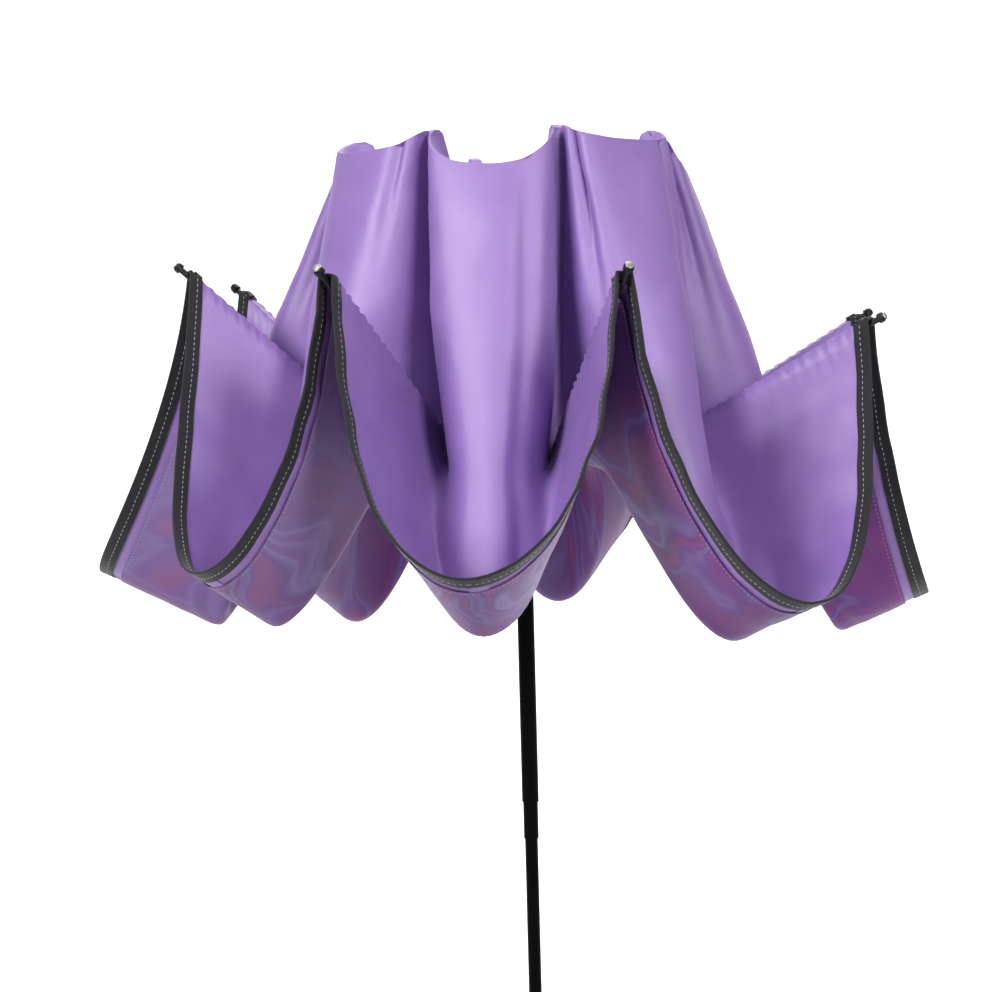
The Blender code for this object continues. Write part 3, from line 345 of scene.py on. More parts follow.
def marbled_finish():
    finish = Finish("marbled_lining", sheen_weight=0.08, sheen_roughness=0.4,
                    specular_ior_level=0.30)
    spot = finish.place((1, 1, 1), "UV")
    bend = finish.noise(spot, 5.5, 2, 0.45, output=1)
    drag = finish.vector("SCALE", finish.vector("SUBTRACT", bend, (0.5, 0.5, 0.5)), 0.34, "Scale")
    bath = finish.vector("ADD", spot, drag)
    stretched = finish.node("ShaderNodeMapping", {"Vector": bath, "Scale": (9.0, 2.6, 1.0)})
    bands = finish.noise(stretched, 1.5, 2, 0.5, 0.4)
    veins = finish.noise(stretched, 6.0, 2, 0.55, 0.7)
    share = bands * 2.6 + veins * 0.26 - 0.93
    printed = finish.node("ShaderNodeValToRGB", {0: share})
    set_stops(printed.socket.node.color_ramp, list(zip(PRINT_PLACES, map(srgb, PRINT_COLOURS))))
    grain = finish.noise(spot, 1400)
    faded = mixed(grain * 0.2 + 0.24, printed, PRINT_GROUND)
    # Painted light: each panel turns paler toward its edge before its rib, so one wall of every tent
    # looks lit.
    across, _ = finish.parts(spot)
    pale = mixed((PAINTED_LIGHT_START - across * PAINTED_LIGHT_RISE) * PAINTED_LIGHT_SHARE, faded, PAINTED_LIGHT_PALE)
    finish.paint(base_color=pale, roughness=grain * 0.1 + 0.46)
    woven_bump(finish, grain)
    return finish.material


marbled = marbled_finish()
print("finish:", marbled.name)

# %% [markdown]
# ## Binding tape, thread and patch
#
# The hem is bound with a black grosgrain tape, whose ribs run across it. The thread is a
# twisted light grey polyester. The patch is a plain dark woven label left bare.

# %% Tape, thread and patch finishes


def tape_finish(name, deep, light, ribs):
    finish = Finish(name, sheen_weight=0.2, specular_ior_level=0.3)
    across, _ = finish.parts(finish.place((ribs, 1, 1), "UV"))
    rib = across.sine() * 0.5 + 0.5
    dust = finish.noise(finish.place(), 260, 3)
    finish.paint(base_color=mixed(rib * 0.45 + dust * 0.4, srgb(deep), srgb(light)),
                 roughness=dust * 0.2 + 0.6)
    finish.bump(rib + dust * 0.4, 0.0001, 0.6)
    return finish.material


def thread_finish():
    finish = Finish("running_thread", roughness=0.55, sheen_weight=0.3)
    fuzz = finish.noise(finish.place(), 1800)
    finish.paint(base_color=mixed(fuzz, srgb("96939B"), srgb("C4C1C8")))
    finish.bump(fuzz, 0.0001, 0.5)
    return finish.material


tape = tape_finish("binding_tape", "0F0E11", "252328", 5200)
patch = tape_finish("woven_patch", "2C2A4A", "4A4768", 3000)
thread = thread_finish()
print("finishes:", tape.name, patch.name, thread.name)

# %% [markdown]
# ## Hard finishes
#
# The shaft is lacquered black steel, faintly streaked along its length by the drawing.
# Ribs are plated rolled steel, the outer ribs are glass fibre, moulded pieces are a fine
# matt black, and the grip is soft to the touch. Small grain in the roughness and a light
# bump keep each from looking like one flat colour.

# %% Hard finishes


def hard_finish(name, deep, light, rough, scale, metal=0.0, coat=0.0, streak=1.0,
                depth=0.00004, gloss=0.3):
    """Grain of a scale, drawn out along the piece where the streak is below one."""
    finish = Finish(name, metallic=metal, coat_weight=coat, coat_roughness=0.12,
                    specular_ior_level=gloss)
    grain = finish.noise(finish.place((1, 1, streak)), scale, 4)
    wear = finish.noise(finish.place(), 34, 3, 0.55)
    finish.paint(base_color=mixed(grain * 0.6 + wear * 0.4, srgb(deep), srgb(light)),
                 roughness=grain * 0.12 + wear * 0.1 + (rough - 0.11))
    finish.bump(grain, depth, 0.4)
    return finish.material


hard = {
    "tube": hard_finish("black_tube", "010102", "040405", 0.50, 900, streak=0.04, gloss=0.06),
    "rib": hard_finish("rib_steel", "8E8F93", "B5B6BA", 0.34, 700, metal=1.0, streak=0.1),
    "wire": hard_finish("wire_steel", "A4A5A9", "C8C9CC", 0.26, 600, metal=1.0),
    "stretcher": hard_finish("stretcher_black", "0C0C0E", "1C1C1F", 0.32, 700, 0.5, 0.2, 0.1),
    "fibre": hard_finish("fibreglass", "121214", "232326", 0.42, 1200, coat=0.1),
    "moulded": hard_finish("black_plastic", "0D0D0F", "1B1B1E", 0.36, 1500, coat=0.15),
    "grey": hard_finish("grey_plastic", "3A3A3E", "4C4C51", 0.40, 1500, coat=0.1),
    "grip": hard_finish("soft_grip", "141416", "222225", 0.62, 2200, depth=0.00008),
    "stud": hard_finish("tip_stud", "B9B4AA", "DAD5CB", 0.30, 800, metal=0.85),
}
print("hard finishes:", ", ".join(hard))

# %% [markdown]
# The CAD pieces keep their meshes. Only what their material slots hold changes.

# %% Dress the CAD pieces
WEARERS = {
    "tube": "tube_low tube_mid tube_top", "rib": "inner_rib middle_rib", "fibre": "outer_rib",
    "stretcher": "stretcher", "moulded": "tip_cap crown runner top_cap", "grip": "handle_grip",
    "wire": "crown_wire runner_wire button_spring handle_collar",
    "grey": "handle_end_cap push_button",
}
FINISH_OF = {piece: kind for kind, pieces in WEARERS.items() for piece in pieces.split()}

dressed = 0
for name, thing in nodes.items():
    piece = name.rsplit("_", 1)[0] if name[-1].isdigit() else name
    if piece in FINISH_OF:
        for slot in thing.material_slots:
            slot.material = hard[FINISH_OF[piece]]
        dressed += 1
print("dressed", dressed, "CAD pieces")

# %% [markdown]
# ## How the cloth hangs
#
# Eight ribs carry the cloth up from the crown to the elbows, down to the knees and out to
# the tips. Between two ribs it bulges into a lobe on the tower and hangs in a swag
# outside. Each row of the cloth is a smooth curve from beside a rib to the middle of the
# gore. First come the places of the rib chain, in (radius, height) as seen in its plane.

# %% Places of the rib chain
RIBS = 8
HALF_ANGLE = math.pi / RIBS
FIRST_RIB_AZIMUTH = 15.0
NOTCH_RADIUS = 0.0080
INNER_LENGTH, INNER_ANGLE = 0.185, 62.6
MIDDLE_LENGTH, MIDDLE_ANGLE = 0.2006, -97.2
OUTER_LENGTH, OUTER_ANGLE = 0.184, 36.1
OUTER_LIFTS = (0.0, -9.5, -6.5, -4.0, 0.0, 4.0, 6.0, 1.5)
EYE_RADIUS = 0.0024
CHANNEL_HALF = 0.0014
ELBOW_OFFSET = 0.0017
TIP_NECK_RADIUS = 0.0019
CLEAR = 0.00075
CROWN_HOLD = 0.0045


def heading(degrees):
    """Unit (radius, height) direction of a link."""
    return np.array([math.cos(math.radians(degrees)), math.sin(math.radians(degrees))])


def left_of(degrees):
    """Unit (radius, height) normal on the left of a link."""
    return heading(degrees + 90)


def outer_angle(rib):
    return OUTER_ANGLE + OUTER_LIFTS[rib]


def chain(rib):
    """Crown pivot, elbow, knee and tip of a rib, as (radius, height)."""
    notch = np.array([NOTCH_RADIUS, CROWN_HEIGHT])
    elbow = notch + heading(INNER_ANGLE) * INNER_LENGTH
    knee = elbow + heading(MIDDLE_ANGLE) * MIDDLE_LENGTH
    tip = knee + heading(outer_angle(rib)) * OUTER_LENGTH
    return notch, elbow, knee, tip


def rib_rows(rib):
    """Ten places of the canopy over a rib, from crown to hem."""
    notch, elbow, knee, tip = chain(rib)
    along, inner = heading(INNER_ANGLE), left_of(INNER_ANGLE)
    middle, outer = left_of(MIDDLE_ANGLE), left_of(outer_angle(rib))
    cover = CHANNEL_HALF + CLEAR
    over = cover + ELBOW_OFFSET
    mean = (inner + middle) / np.linalg.norm(inner + middle)
    corner = middle + outer
    fold = knee + corner * (2 * (EYE_RADIUS + CLEAR) / corner.dot(corner))
    end = tip + outer * (TIP_NECK_RADIUS + CLEAR)
    down = elbow + middle * over
    return np.array([
        notch + along * CROWN_HOLD + inner * cover,
        notch + along * INNER_LENGTH / 2 + inner * (cover + over) / 2,
        elbow + inner * over,
        elbow + mean * over,
        down,
        (down + fold) / 2,
        fold,
        fold + (end - fold) / 3,
        fold + (end - fold) * 2 / 3,
        end,
    ])


print("elbow, knee, tip of rib 1:", [place.round(4).tolist() for place in chain(0)[1:]])

# %% [markdown]
# The middle of each gore has its own rim, bottom fold and hem valley, because no two
# swags of a real umbrella hang alike.

# %% Places at the gore middles
RIM = np.array([0.102, 0.164])
RIM_SHARES = np.array([(1.08, 0.97), (1.04, 0.88), (1.00, 0.94), (1.04, 0.97),
                       (1.02, 0.95), (1.06, 0.89), (1.12, 0.96), (1.14, 0.88)])
BELLIES = (0.004, 0.006, 0.002, 0.004, 0.003, 0.020, 0.008, 0.004)
FOLD = np.array([0.186, -0.133])
HEM = np.array([0.254, -0.105])
FOLD_SHARES = np.array([(1.00, 0.98), (1.03, 1.03), (0.97, 1.06), (1.02, 1.00),
                        (0.98, 1.05), (1.03, 0.97), (0.97, 0.90), (1.01, 0.92)])
HEM_SHARES = np.array([(0.99, 1.00), (0.97, 1.08), (0.97, 1.04), (1.00, 1.02),
                       (1.02, 0.98), (1.06, 0.88), (0.93, 0.80), (1.00, 0.80)])
RIM_LAP = np.array([0.0016, 0.0])
MID_START = np.array([0.0092, 0.0056])


def mid_rows(gore):
    """Ten places of the canopy at a gore's middle, from crown to hem."""
    origin = np.array([0.0, CROWN_HEIGHT])
    rim = origin + RIM * RIM_SHARES[gore]
    belly = np.array([BELLIES[gore], 0.0])
    fold = origin + FOLD * FOLD_SHARES[gore]
    hem = origin + HEM * HEM_SHARES[gore]
    start = origin + MID_START
    return np.array([
        start,
        (start + origin + RIM) / 2 - RIM_LAP,
        rim - RIM_LAP,
        rim,
        rim + RIM_LAP,
        rim + (fold - rim) / 3 + belly,
        rim + (fold - rim) * 2 / 3 + belly,
        fold,
        (fold + hem) / 2,
        hem,
    ])


print("bottom fold of gore 1:", mid_rows(0)[7].round(4).tolist())

# %% [markdown]
# ## One smooth surface for the whole canopy
#
# The rows between those places are filled in, every row is bent into its curve, and the
# corners at the rim and the bottom folds are relaxed a little, as cloth rounds them. The
# surface is one big table of places: rows from the crown to the hem, columns round the
# umbrella. Every cloth piece is cut from this one table, so neighbours always meet.

# %% The canopy surface
HALF_COLUMNS = 26
GORE_COLUMNS = 2 * HALF_COLUMNS + 2
FINE_ROWS_PER_STEP = 20
TOWER_ROW, SWAG_ROW, HEM_ROW = 3, 6, 9
HANGS = (0, 0, 0, 0, 0, 0, 0, 0.5, 1, 1)
WIDTHS = (0.78, 0.78, 1.25, 1.25, 1.25, 1.30, 1.05, 0.70, 0.62, 0.62)
SPREADS = (0, 0, 0.22, 0.22, 0.22, 0.24, 0.10, 0, 0, 0)
LEANS = ((1.30, 1.00), (1.00, 1.05), (1.00, 1.00), (1.10, 0.90),
         (1.00, 1.00), (1.00, 1.10), (1.00, 1.12), (1.05, 0.74))
DROPS = (0.16, 0.16, 0, 0, 0, 0.10, 0.14, 0.16, 0.16, 0.16)
FLATS = (0.0011, 0.0034, 0.0034, 0.0034, 0.0034, 0.0034, 0.0044, 0.0054, 0.0054, 0.0050)
RELAX_PASSES = 8
LEAN_ROW, LEAN_REACH = 4, 2.2


def azimuth(rib):
    return math.radians(FIRST_RIB_AZIMUTH + 360 / RIBS * rib)


def half_section(rib_place, mid_place, flat_half, form, lean):
    """Places from beside a rib to a gore's middle, with the gore's middle along +X."""
    radius, height = rib_place
    cos, sin = math.cos(HALF_ANGLE), math.sin(HALF_ANGLE)
    flat = np.array([radius * cos + flat_half * sin, radius * sin - flat_half * cos, height])
    middle = np.array([mid_place[0], 0.0, mid_place[1]])
    reach = middle - flat
    hang, width, spread, drop = form
    lobe = np.array([reach[0] * 0.50, reach[0] * spread, reach[2] * drop])
    drape = np.array([reach[0] * 0.16, 0, reach[2] * 0.55])
    leave = flat + lobe * (1 - hang) + drape * hang
    arrive = middle + np.array([0, flat[1] * width * lean, 0])
    t = (np.arange(HALF_COLUMNS + 1) / HALF_COLUMNS)[:, None]
    s = 1 - t
    return flat * s**3 + leave * (3 * s * s * t) + arrive * (3 * s * t * t) + middle * t**3


def between(table, v):
    """A table's rows read at a fractional row number."""
    low = min(int(v), len(table) - 2)
    return np.asarray(table[low]) * (low + 1 - v) + np.asarray(table[low + 1]) * (v - low)


def turned(points, angle):
    """Points turned from +X to an azimuth, which counts from -Y toward +X."""
    c, s = math.sin(angle), math.cos(angle)
    x, y, z = np.moveaxis(points, -1, 0)
    return np.stack([x * c + y * s, y * c - x * s, z], -1)


def canopy_ring(v, rib_tables, mid_tables):
    """One row of the canopy, right round the shaft."""
    ring = []
    flat = between(FLATS, v)
    form = [between(table, v) for table in (HANGS, WIDTHS, SPREADS, DROPS)]
    lean_share = max(0.0, 1 - abs(v - LEAN_ROW) / LEAN_REACH)
    for gore in range(RIBS):
        near, far = (between(rib_tables[rib % RIBS], v) for rib in (gore, gore + 1))
        mid = between(mid_tables[gore], v)
        lean = 1 + (np.array(LEANS[gore]) - 1) * lean_share
        first = half_section(near, mid, flat, form, lean[0])
        second = half_section(far, mid, flat, form, lean[1])
        first[:, 1] *= -1
        angle = azimuth(gore + 0.5)
        ring.append(turned(np.array([[near[0], 0, near[1]]]), azimuth(gore)))
        ring.append(turned(first, angle))
        ring.append(turned(second[:-1][::-1], angle))
    return np.concatenate(ring)


def middleness():
    """How near a column is to a gore's middle, from 0 on a rib to 1."""
    half = np.arange(HALF_COLUMNS + 1) / HALF_COLUMNS
    return np.tile(np.concatenate([[0], half, half[:-1][::-1]]), RIBS)


def bell(x):
    """One at zero, fading to nothing on both sides."""
    return np.exp(-(x**2))


def canopy_table():
    rib_tables = [rib_rows(rib) for rib in range(RIBS)]
    mid_tables = [mid_rows(gore) for gore in range(RIBS)]
    values = np.arange(HEM_ROW * FINE_ROWS_PER_STEP + 1) / FINE_ROWS_PER_STEP
    table = np.array([canopy_ring(v, rib_tables, mid_tables) for v in values])
    calm = np.clip(middleness() * 3, 0, 1)
    folds = 0.15 + 0.85 * bell((values - 7.0) / 0.8) + 0.2 * bell((values - TOWER_ROW) / 0.5)
    weight = (np.clip(folds, 0, 1)[:, None] * calm[None, :] * 0.5)[..., None]
    for _ in range(RELAX_PASSES):
        mean = (table[:-2] + table[2:]) / 2
        table[1:-1] += (mean - table[1:-1]) * weight[1:-1]
    return table


canopy_fine = canopy_table()
print("canopy table:", canopy_fine.shape)

# %% [markdown]
# ## Rows that follow the fold line
#
# The bottom fold runs from each knee out to the low point of the swag. The cloth pieces
# are parted along that line, because the tower side rides on the middle rib while on the
# umbrella the swag swings with the outer rib. So the rows are read again with the fold line as one
# row.

# %% Rows along the fold
STEP_COUNTS = (12, 12, 2, 2, 22, 20, 22, 16, 18)


def fold_rows(steps, columns):
    """The table row to read for each step and column."""
    lag, s = columns[None, :], steps[:, None]
    side, last = SWAG_ROW - TOWER_ROW, HEM_ROW - SWAG_ROW
    tower = TOWER_ROW + (s - TOWER_ROW) * (side + lag) / side
    swag = SWAG_ROW + lag + (s - SWAG_ROW) * (last - lag) / last
    return np.where(s <= TOWER_ROW, s, np.where(s <= SWAG_ROW, tower, swag))


def read_rows(table, rows):
    """The table's places at a fractional row for each column."""
    spot = np.clip(rows * FINE_ROWS_PER_STEP, 0, len(table) - 1.000001)
    low = spot.astype(int)
    share = (spot - low)[..., None]
    columns = np.arange(table.shape[1])[None, :]
    return table[low, columns] * (1 - share) + table[low + 1, columns] * share


def normals_of(table):
    """Unit normals of a table on its wet side. Columns close round the shaft."""
    down = np.gradient(table, axis=0)
    across = np.roll(table, -1, 1) - np.roll(table, 1, 1)
    normal = np.cross(down, across)
    return normal / np.maximum(np.linalg.norm(normal, axis=2, keepdims=True), 1e-9)


steps = [np.arange(count) / count + index for index, count in enumerate(STEP_COUNTS)]
steps = np.concatenate([*steps, [HEM_ROW]])
columns = middleness()
canopy = read_rows(canopy_fine, fold_rows(steps, columns))
print("canopy rows and columns:", canopy.shape[:2])

# %% [markdown]
# ## From the table to a piece of cloth
#
# A cloth piece starts as a flat bmesh grid, which solidify makes into a thin closed sheet.
# Each point then moves to its place in the table, or as far below it as the cloth is
# thick. Neighbouring pieces must shade as one cloth, so each corner takes its normal from
# the whole table, not from its own piece.

# %% Cloth from a grid
CLOTH_THICKNESS = 0.0004


def grid_mesh(name, places, normals, maps, thickness):
    """A closed sheet over a table of places, with a UV map in metres of cloth."""
    rows, across = places.shape[:2]
    bm = bmesh.new()
    uv = bm.loops.layers.uv.new("UVMap")
    number = bm.verts.layers.int.new("number")
    bmesh.ops.create_grid(bm, x_segments=across - 1, y_segments=rows - 1, size=0.5)
    for vert in bm.verts:
        column = round((0.5 + vert.co.x) * (across - 1))
        row = round((0.5 - vert.co.y) * (rows - 1))
        vert[number] = row * across + column
    bmesh.ops.solidify(bm, geom=bm.faces[:], thickness=thickness)
    spots, lifts = places.reshape(-1, 3), normals.reshape(-1, 3)
    for vert in bm.verts:
        vert.co = spots[vert[number]] + lifts[vert[number]] * vert.co.z
    before, after = maps
    for face in bm.faces:
        middle = sum(vert[number] % across for vert in face.verts) / 4
        chosen = before if middle < HALF_COLUMNS + 1 else after
        for loop in face.loops:
            loop[uv].uv = chosen[loop.vert[number] // across, loop.vert[number] % across]
    mesh = finished(bm, name)
    set_normals(mesh, lifts)
    return mesh


def values_of(items, name, width, kind):
    """A number or a vector from each item of a mesh."""
    out = np.zeros(len(items) * width, kind)
    items.foreach_get(name, out)
    return out.reshape(-1, width) if width > 1 else out


def set_normals(mesh, normals):
    """Corner normals from the table: the wet face, its back, and the rim faces as they are."""
    numbers = values_of(mesh.attributes["number"].data, "value", 1, np.int32)
    corners = values_of(mesh.loops, "vertex_index", 1, np.int32)
    totals = values_of(mesh.polygons, "loop_total", 1, np.int32)
    flats = np.repeat(values_of(mesh.polygons, "normal", 3, float), totals, axis=0)
    smooth = normals[numbers[corners]]
    side = (smooth * flats).sum(1, keepdims=True)
    wanted = np.where(side > 0.3, smooth, np.where(side < -0.3, -smooth, flats))
    mesh.normals_split_custom_set(wanted.tolist())
    mesh.attributes.remove(mesh.attributes["number"])


def add_piece(mesh, finish):
    mesh.materials.append(finish)
    thing = put(mesh.name, mesh)
    return thing


print("cloth helpers ready")

# %% [markdown]
# The UV map is the cut cloth laid flat: each gore is a wedge whose point is at the crown,
# so a place is its distance from the crown and its angle inside the wedge. A shift for
# each gore gives every panel its own part of the print, as separately cut panels have.
# The panels draw apart when the ribs spread, and the real cloth gives way between them.
# So each piece has a lap, a strip that lies hidden under its neighbour at rest.

# %% Flat map of the gores
GORE_SHIFT = 0.37
PIECE_COLUMNS = 2 * HALF_COLUMNS + 3


def travelled(places):
    """Distance run down the rows of a table, from zero."""
    gaps = np.linalg.norm(np.diff(places, axis=0), axis=-1)
    return np.concatenate([np.zeros_like(gaps[:1]), np.cumsum(gaps, axis=0)])


def flat_map(rows, rib, lap):
    """UV of the columns before and after a rib, in metres of cloth."""
    reach = np.interp(rows, np.arange(HEM_ROW + 1), travelled(rib_rows(rib)))
    chosen = piece_columns(rib, lap)
    share = middleness()[chosen]
    order = np.arange(len(chosen))[None, :]
    away = np.where(order > PIECE_COLUMNS, share - 1, 1 - share)
    maps = []
    for gore, side in (((rib - 1) % RIBS, -1), (rib, 1)):
        angle = np.where(order == HALF_COLUMNS + 1, 1, away) * HALF_ANGLE * side
        shift = GORE_SHIFT * (gore + 1)
        maps.append(np.stack([reach * np.sin(angle), reach * np.cos(angle) + shift], -1))
    return maps


def piece_columns(rib, lap=0):
    """Columns from the middle of the gore before a rib to the middle of the gore after it,
    and then those of a lap, which starts at that middle again."""
    start = rib * GORE_COLUMNS - HALF_COLUMNS - 1
    own = np.arange(start, start + PIECE_COLUMNS)
    tucked = np.arange(own[-1], own[-1] + lap + 1) if lap else own[:0]
    return np.concatenate([own, tucked]) % (RIBS * GORE_COLUMNS)


def with_lap(places, normals, drop):
    """Places whose lap lies under the neighbour, by the drop along the normal."""
    places = places.copy()
    places[:, PIECE_COLUMNS:] -= normals[:, PIECE_COLUMNS:] * drop
    return places


def row_of(step):
    return int(np.argmin(np.abs(steps - step)))


print("a piece spans", len(piece_columns(0)), "columns")

# %% [markdown]
# ## Creases of a cloth in use
#
# Cloth in use shows its pull. It puckers along the sewn ribs, rises a little over them,
# fans out in fine lines from each tip, and falls into a few soft pleats. Each of these is
# a small push along the normal, strongest where the real one is and fading around it.

# %% Creases
PUCKER_DEPTH, PUCKER_LENGTH, PUCKER_REACH = 0.0009, 0.0085, 0.006
FAN_DEPTH, FAN_LINES, FAN_PLACE, FAN_WIDTH = 0.0010, 6.0, 0.25, 0.22
WELT_HEIGHT, WELT_REACH = 0.0006, 0.0022
CALM_REACH = 0.012
RIPPLE_DEPTH, RIPPLE_LENGTH = 0.0014, 0.045
PLEATS = (
    (0, -1, 0.50, 0.10, 0.0090, 2.9, 4.9), (0, 1, 0.66, 0.09, 0.0050, 3.1, 5.4),
    (1, -1, 0.45, 0.12, 0.0060, 3.0, 5.2), (1, -1, 0.80, 0.10, 0.0040, 6.6, 9.0),
    (2, 1, 0.55, 0.10, 0.0050, 3.0, 5.0), (4, -1, 0.60, 0.10, 0.0060, 3.0, 5.5),
    (5, 1, 0.50, 0.12, 0.0070, 2.9, 5.2), (5, 1, 0.82, 0.08, 0.0035, 6.6, 9.0),
    (6, 1, 0.62, 0.08, 0.0045, 2.9, 4.6), (6, -1, 0.55, 0.10, 0.0035, 6.8, 9.0),
    (7, 1, 0.72, 0.09, 0.0030, 3.3, 6.6), (7, -1, 0.48, 0.08, 0.0035, 6.7, 9.0),
    (0, 1, 0.60, 0.10, 0.0035, 6.7, 9.0), (3, 1, 0.60, 0.10, 0.0060, 3.0, 5.2),
)


def arc_from_rib(table):
    """Distance of each place from its nearest rib, along its row."""
    gores = []
    for rib in range(RIBS):
        chosen = np.arange(rib * GORE_COLUMNS, (rib + 1) * GORE_COLUMNS + 1) % table.shape[1]
        run = travelled(table[:, chosen].swapaxes(0, 1)).T
        nearer = np.arange(GORE_COLUMNS) <= HALF_COLUMNS + 1
        gores.append(np.where(nearer, run[:, :-1], (run[:, -1:] - run)[:, :-1]))
    return np.concatenate(gores, axis=1)


def fade(start, full, end, gone):
    """A share per row that rises between start and full, and falls between end and gone."""
    rise = np.clip((steps - start) / (full - start), 0, 1)
    fall = np.clip((gone - steps) / (gone - end), 0, 1)
    return ((rise * rise * (3 - 2 * rise)) * (fall * fall * (3 - 2 * fall)))[:, None]


def pleated(share, gore, side):
    """Single soft valleys, each with its gore, side, place, width, depth and span of rows."""
    push = np.zeros((len(steps), share.shape[1]))
    for of_gore, of_side, place, width, depth, first, last in PLEATS:
        here = (gore == of_gore) & (side == of_side)
        valley = bell((share - place) / width) * depth * here
        push = push - valley * fade(first, first + 0.5, last - 0.9, last + 0.2)
    return push


def rippled(table):
    """A slow unevenness over the whole cloth."""
    spots = [Vector(place) / RIPPLE_LENGTH for place in table.reshape(-1, 3)]
    push = [noise.noise(spot) + 0.3 * noise.noise(spot * 3.1) for spot in spots]
    return np.array(push).reshape(table.shape[:2]) * RIPPLE_DEPTH


def creased(table):
    normals = normals_of(table)
    aside = arc_from_rib(table)
    down = travelled(table)
    order = np.arange(table.shape[1])[None, :]
    gore = order // GORE_COLUMNS
    side = np.where(order % GORE_COLUMNS > HALF_COLUMNS + 1, 1.0, -1.0)
    pucker = np.sin(down * math.tau / PUCKER_LENGTH + gore * 1.7 + side)
    pucker = pucker * bell(aside / PUCKER_REACH - 1) * PUCKER_DEPTH * fade(6.2, 6.9, 9.0, 9.4)
    share = middleness()[None, :]
    fan = np.sin(share * math.tau * FAN_LINES + gore * 2.3 + side * 0.8)
    fan = fan * bell((share - FAN_PLACE) / FAN_WIDTH) * FAN_DEPTH * fade(6.8, 8.2, 8.8, 9.6)
    welt = bell(aside / WELT_REACH) * WELT_HEIGHT * fade(0.3, 1.0, 9.0, 9.4)
    loose = fade(0.8, 2.0, 9.0, 9.4) * (1 - bell(aside / CALM_REACH))
    push = pucker + fan + welt + pleated(share, gore, side) + rippled(table) * loose
    return table + normals * push[..., None]


canopy = creased(canopy)
canopy_normals = normals_of(canopy)
print("creases added")

# %% [markdown]
# ## The canopy in three rings of pieces
#
# A cloth that crosses a joint bends there. The first ring runs from the crown up to the
# elbows, across the joint between the top tube and each inner rib. The second hangs down
# the tower beside each middle rib. The third is the swag, which reaches from the middle rib
# to the outer rib. Every piece spans from one gore's middle to the next, with its rib between.

# %% Canopy pieces
SWAG_BEND = (0, 0.075)
CROWN_BEND = (0.004, 0.040)
FOLD_HEADING = np.array([0.575, 0.818])
TOP_LAP, SIDE_LAP, SWAG_LAP = 6, 7, 2
CANOPY_LAP_DROP = 0.00050


def in_space(place, rib):
    """A (radius, height) place in a rib's plane as a point."""
    angle = azimuth(rib)
    return Vector((math.sin(angle) * place[0], -math.cos(angle) * place[0], place[1]))


def declare_sheet(thing):
    """The cut's size from the flat map, and the area of cloth in the piece."""
    width, length = thing["cut_width"], thing["cut_length"]
    area = sum(polygon.area for polygon in thing.data.polygons) / 2
    print(thing.name, "cut", round(width, 3), "x", round(length, 3), "area", round(area, 4))
    min(area, width * length)


def cloth_piece(kind, cloth, rib, first, last, lap):
    """One rib's piece of a cloth, between two steps of its rows."""
    table, normals, source_rows, finish, slot, drop = cloth
    columns = piece_columns(rib, lap)
    span = slice(row_of(first), row_of(last) + 1)
    ups = normals[span][:, columns]
    places = with_lap(table[span][:, columns], ups, drop)
    maps = flat_map(source_rows[span][:, columns], rib, lap)
    mesh = grid_mesh(f"{kind}_{rib + 1}", places, ups, maps, CLOTH_THICKNESS)
    thing = add_piece(mesh, finish)
    seam = HALF_COLUMNS + 1
    halves = [maps[0][:, :seam + 1], maps[1][:, seam:]]
    thing["cut_width"] = float(sum(np.ptp(half[..., 0]) for half in halves))
    thing["cut_length"] = float(max(np.ptp(half[..., 1]) for half in halves))
    return thing


def swing(thing, rib):
    """Bake a swag's piece into its mesh where it lies."""
    start, end = (in_space(chain(rib)[2] + FOLD_HEADING * reach, rib) for reach in SWAG_BEND)
    f"middle_rib_{rib + 1}"
    f"outer_rib_{rib + 1}"
    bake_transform(thing)


def spread(thing, rib):
    """Bake a crown piece into its mesh where it lies."""
    start, end = (in_space(chain(rib)[0] + heading(INNER_ANGLE) * reach, rib) for reach in CROWN_BEND)
    f"inner_rib_{rib + 1}"
    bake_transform(thing)


def hang(kind, cloth, rib, first, laps):
    """A rib's side piece and its swag. The first side takes the place of the CAD cloth."""
    middle = f"middle_rib_{rib + 1}"
    side = cloth_piece(f"{kind}_side", cloth, rib, first, SWAG_ROW, laps[0])
    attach(side, middle)
    declare_sheet(side)
    swag = cloth_piece(f"{kind}_swag", cloth, rib, SWAG_ROW, HEM_ROW, laps[1])
    swing(swag, rib)
    if rib == 0:
        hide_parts(kind)
    return swag


source_rows = fold_rows(steps, columns)
canopy_cloth = (canopy, canopy_normals, source_rows, satin, "lavender_satin", CANOPY_LAP_DROP)
canopy_swags = []
for rib in range(RIBS):
    top = cloth_piece("canopy_top", canopy_cloth, rib, 0, TOWER_ROW, TOP_LAP)
    spread(top, rib)
    declare_sheet(top)
    canopy_swags.append(hang("canopy", canopy_cloth, rib, TOWER_ROW, (SIDE_LAP, SWAG_LAP)))
print("canopy pieces:", 3 * RIBS)

# %% [markdown]
# ## The lining
#
# The second cloth lies just under the first, far enough below the ribs to hide them, and
# ends a little short of the hem in a dotted seam. It is the canopy's own surface pushed
# back along its normal, deeper beside the ribs and the knees.

# %% Lining pieces
LINING_GAP, LINING_RIB_GAP = 0.0016, 0.0066
LINING_FIRST = 4.3
LINING_HEM = 0.0150
RIB_GAP_REACH = 0.010
CALM_PASSES, CALM_SHARE = 6, 0.3
LINING_LAP, LINING_LAP_DROP = 1, -0.0005


def cut_short(table, first, values, cut):
    """Rows from first on, drawn up their columns so that the last ends short of the hem."""
    out = values.copy()
    for column, down in enumerate(travelled(table[first:]).T):
        wanted = down * (down[-1] - cut) / down[-1]
        for part in range(values.shape[2]):
            out[first:, column, part] = np.interp(wanted, down, values[first:, column, part])
    return out


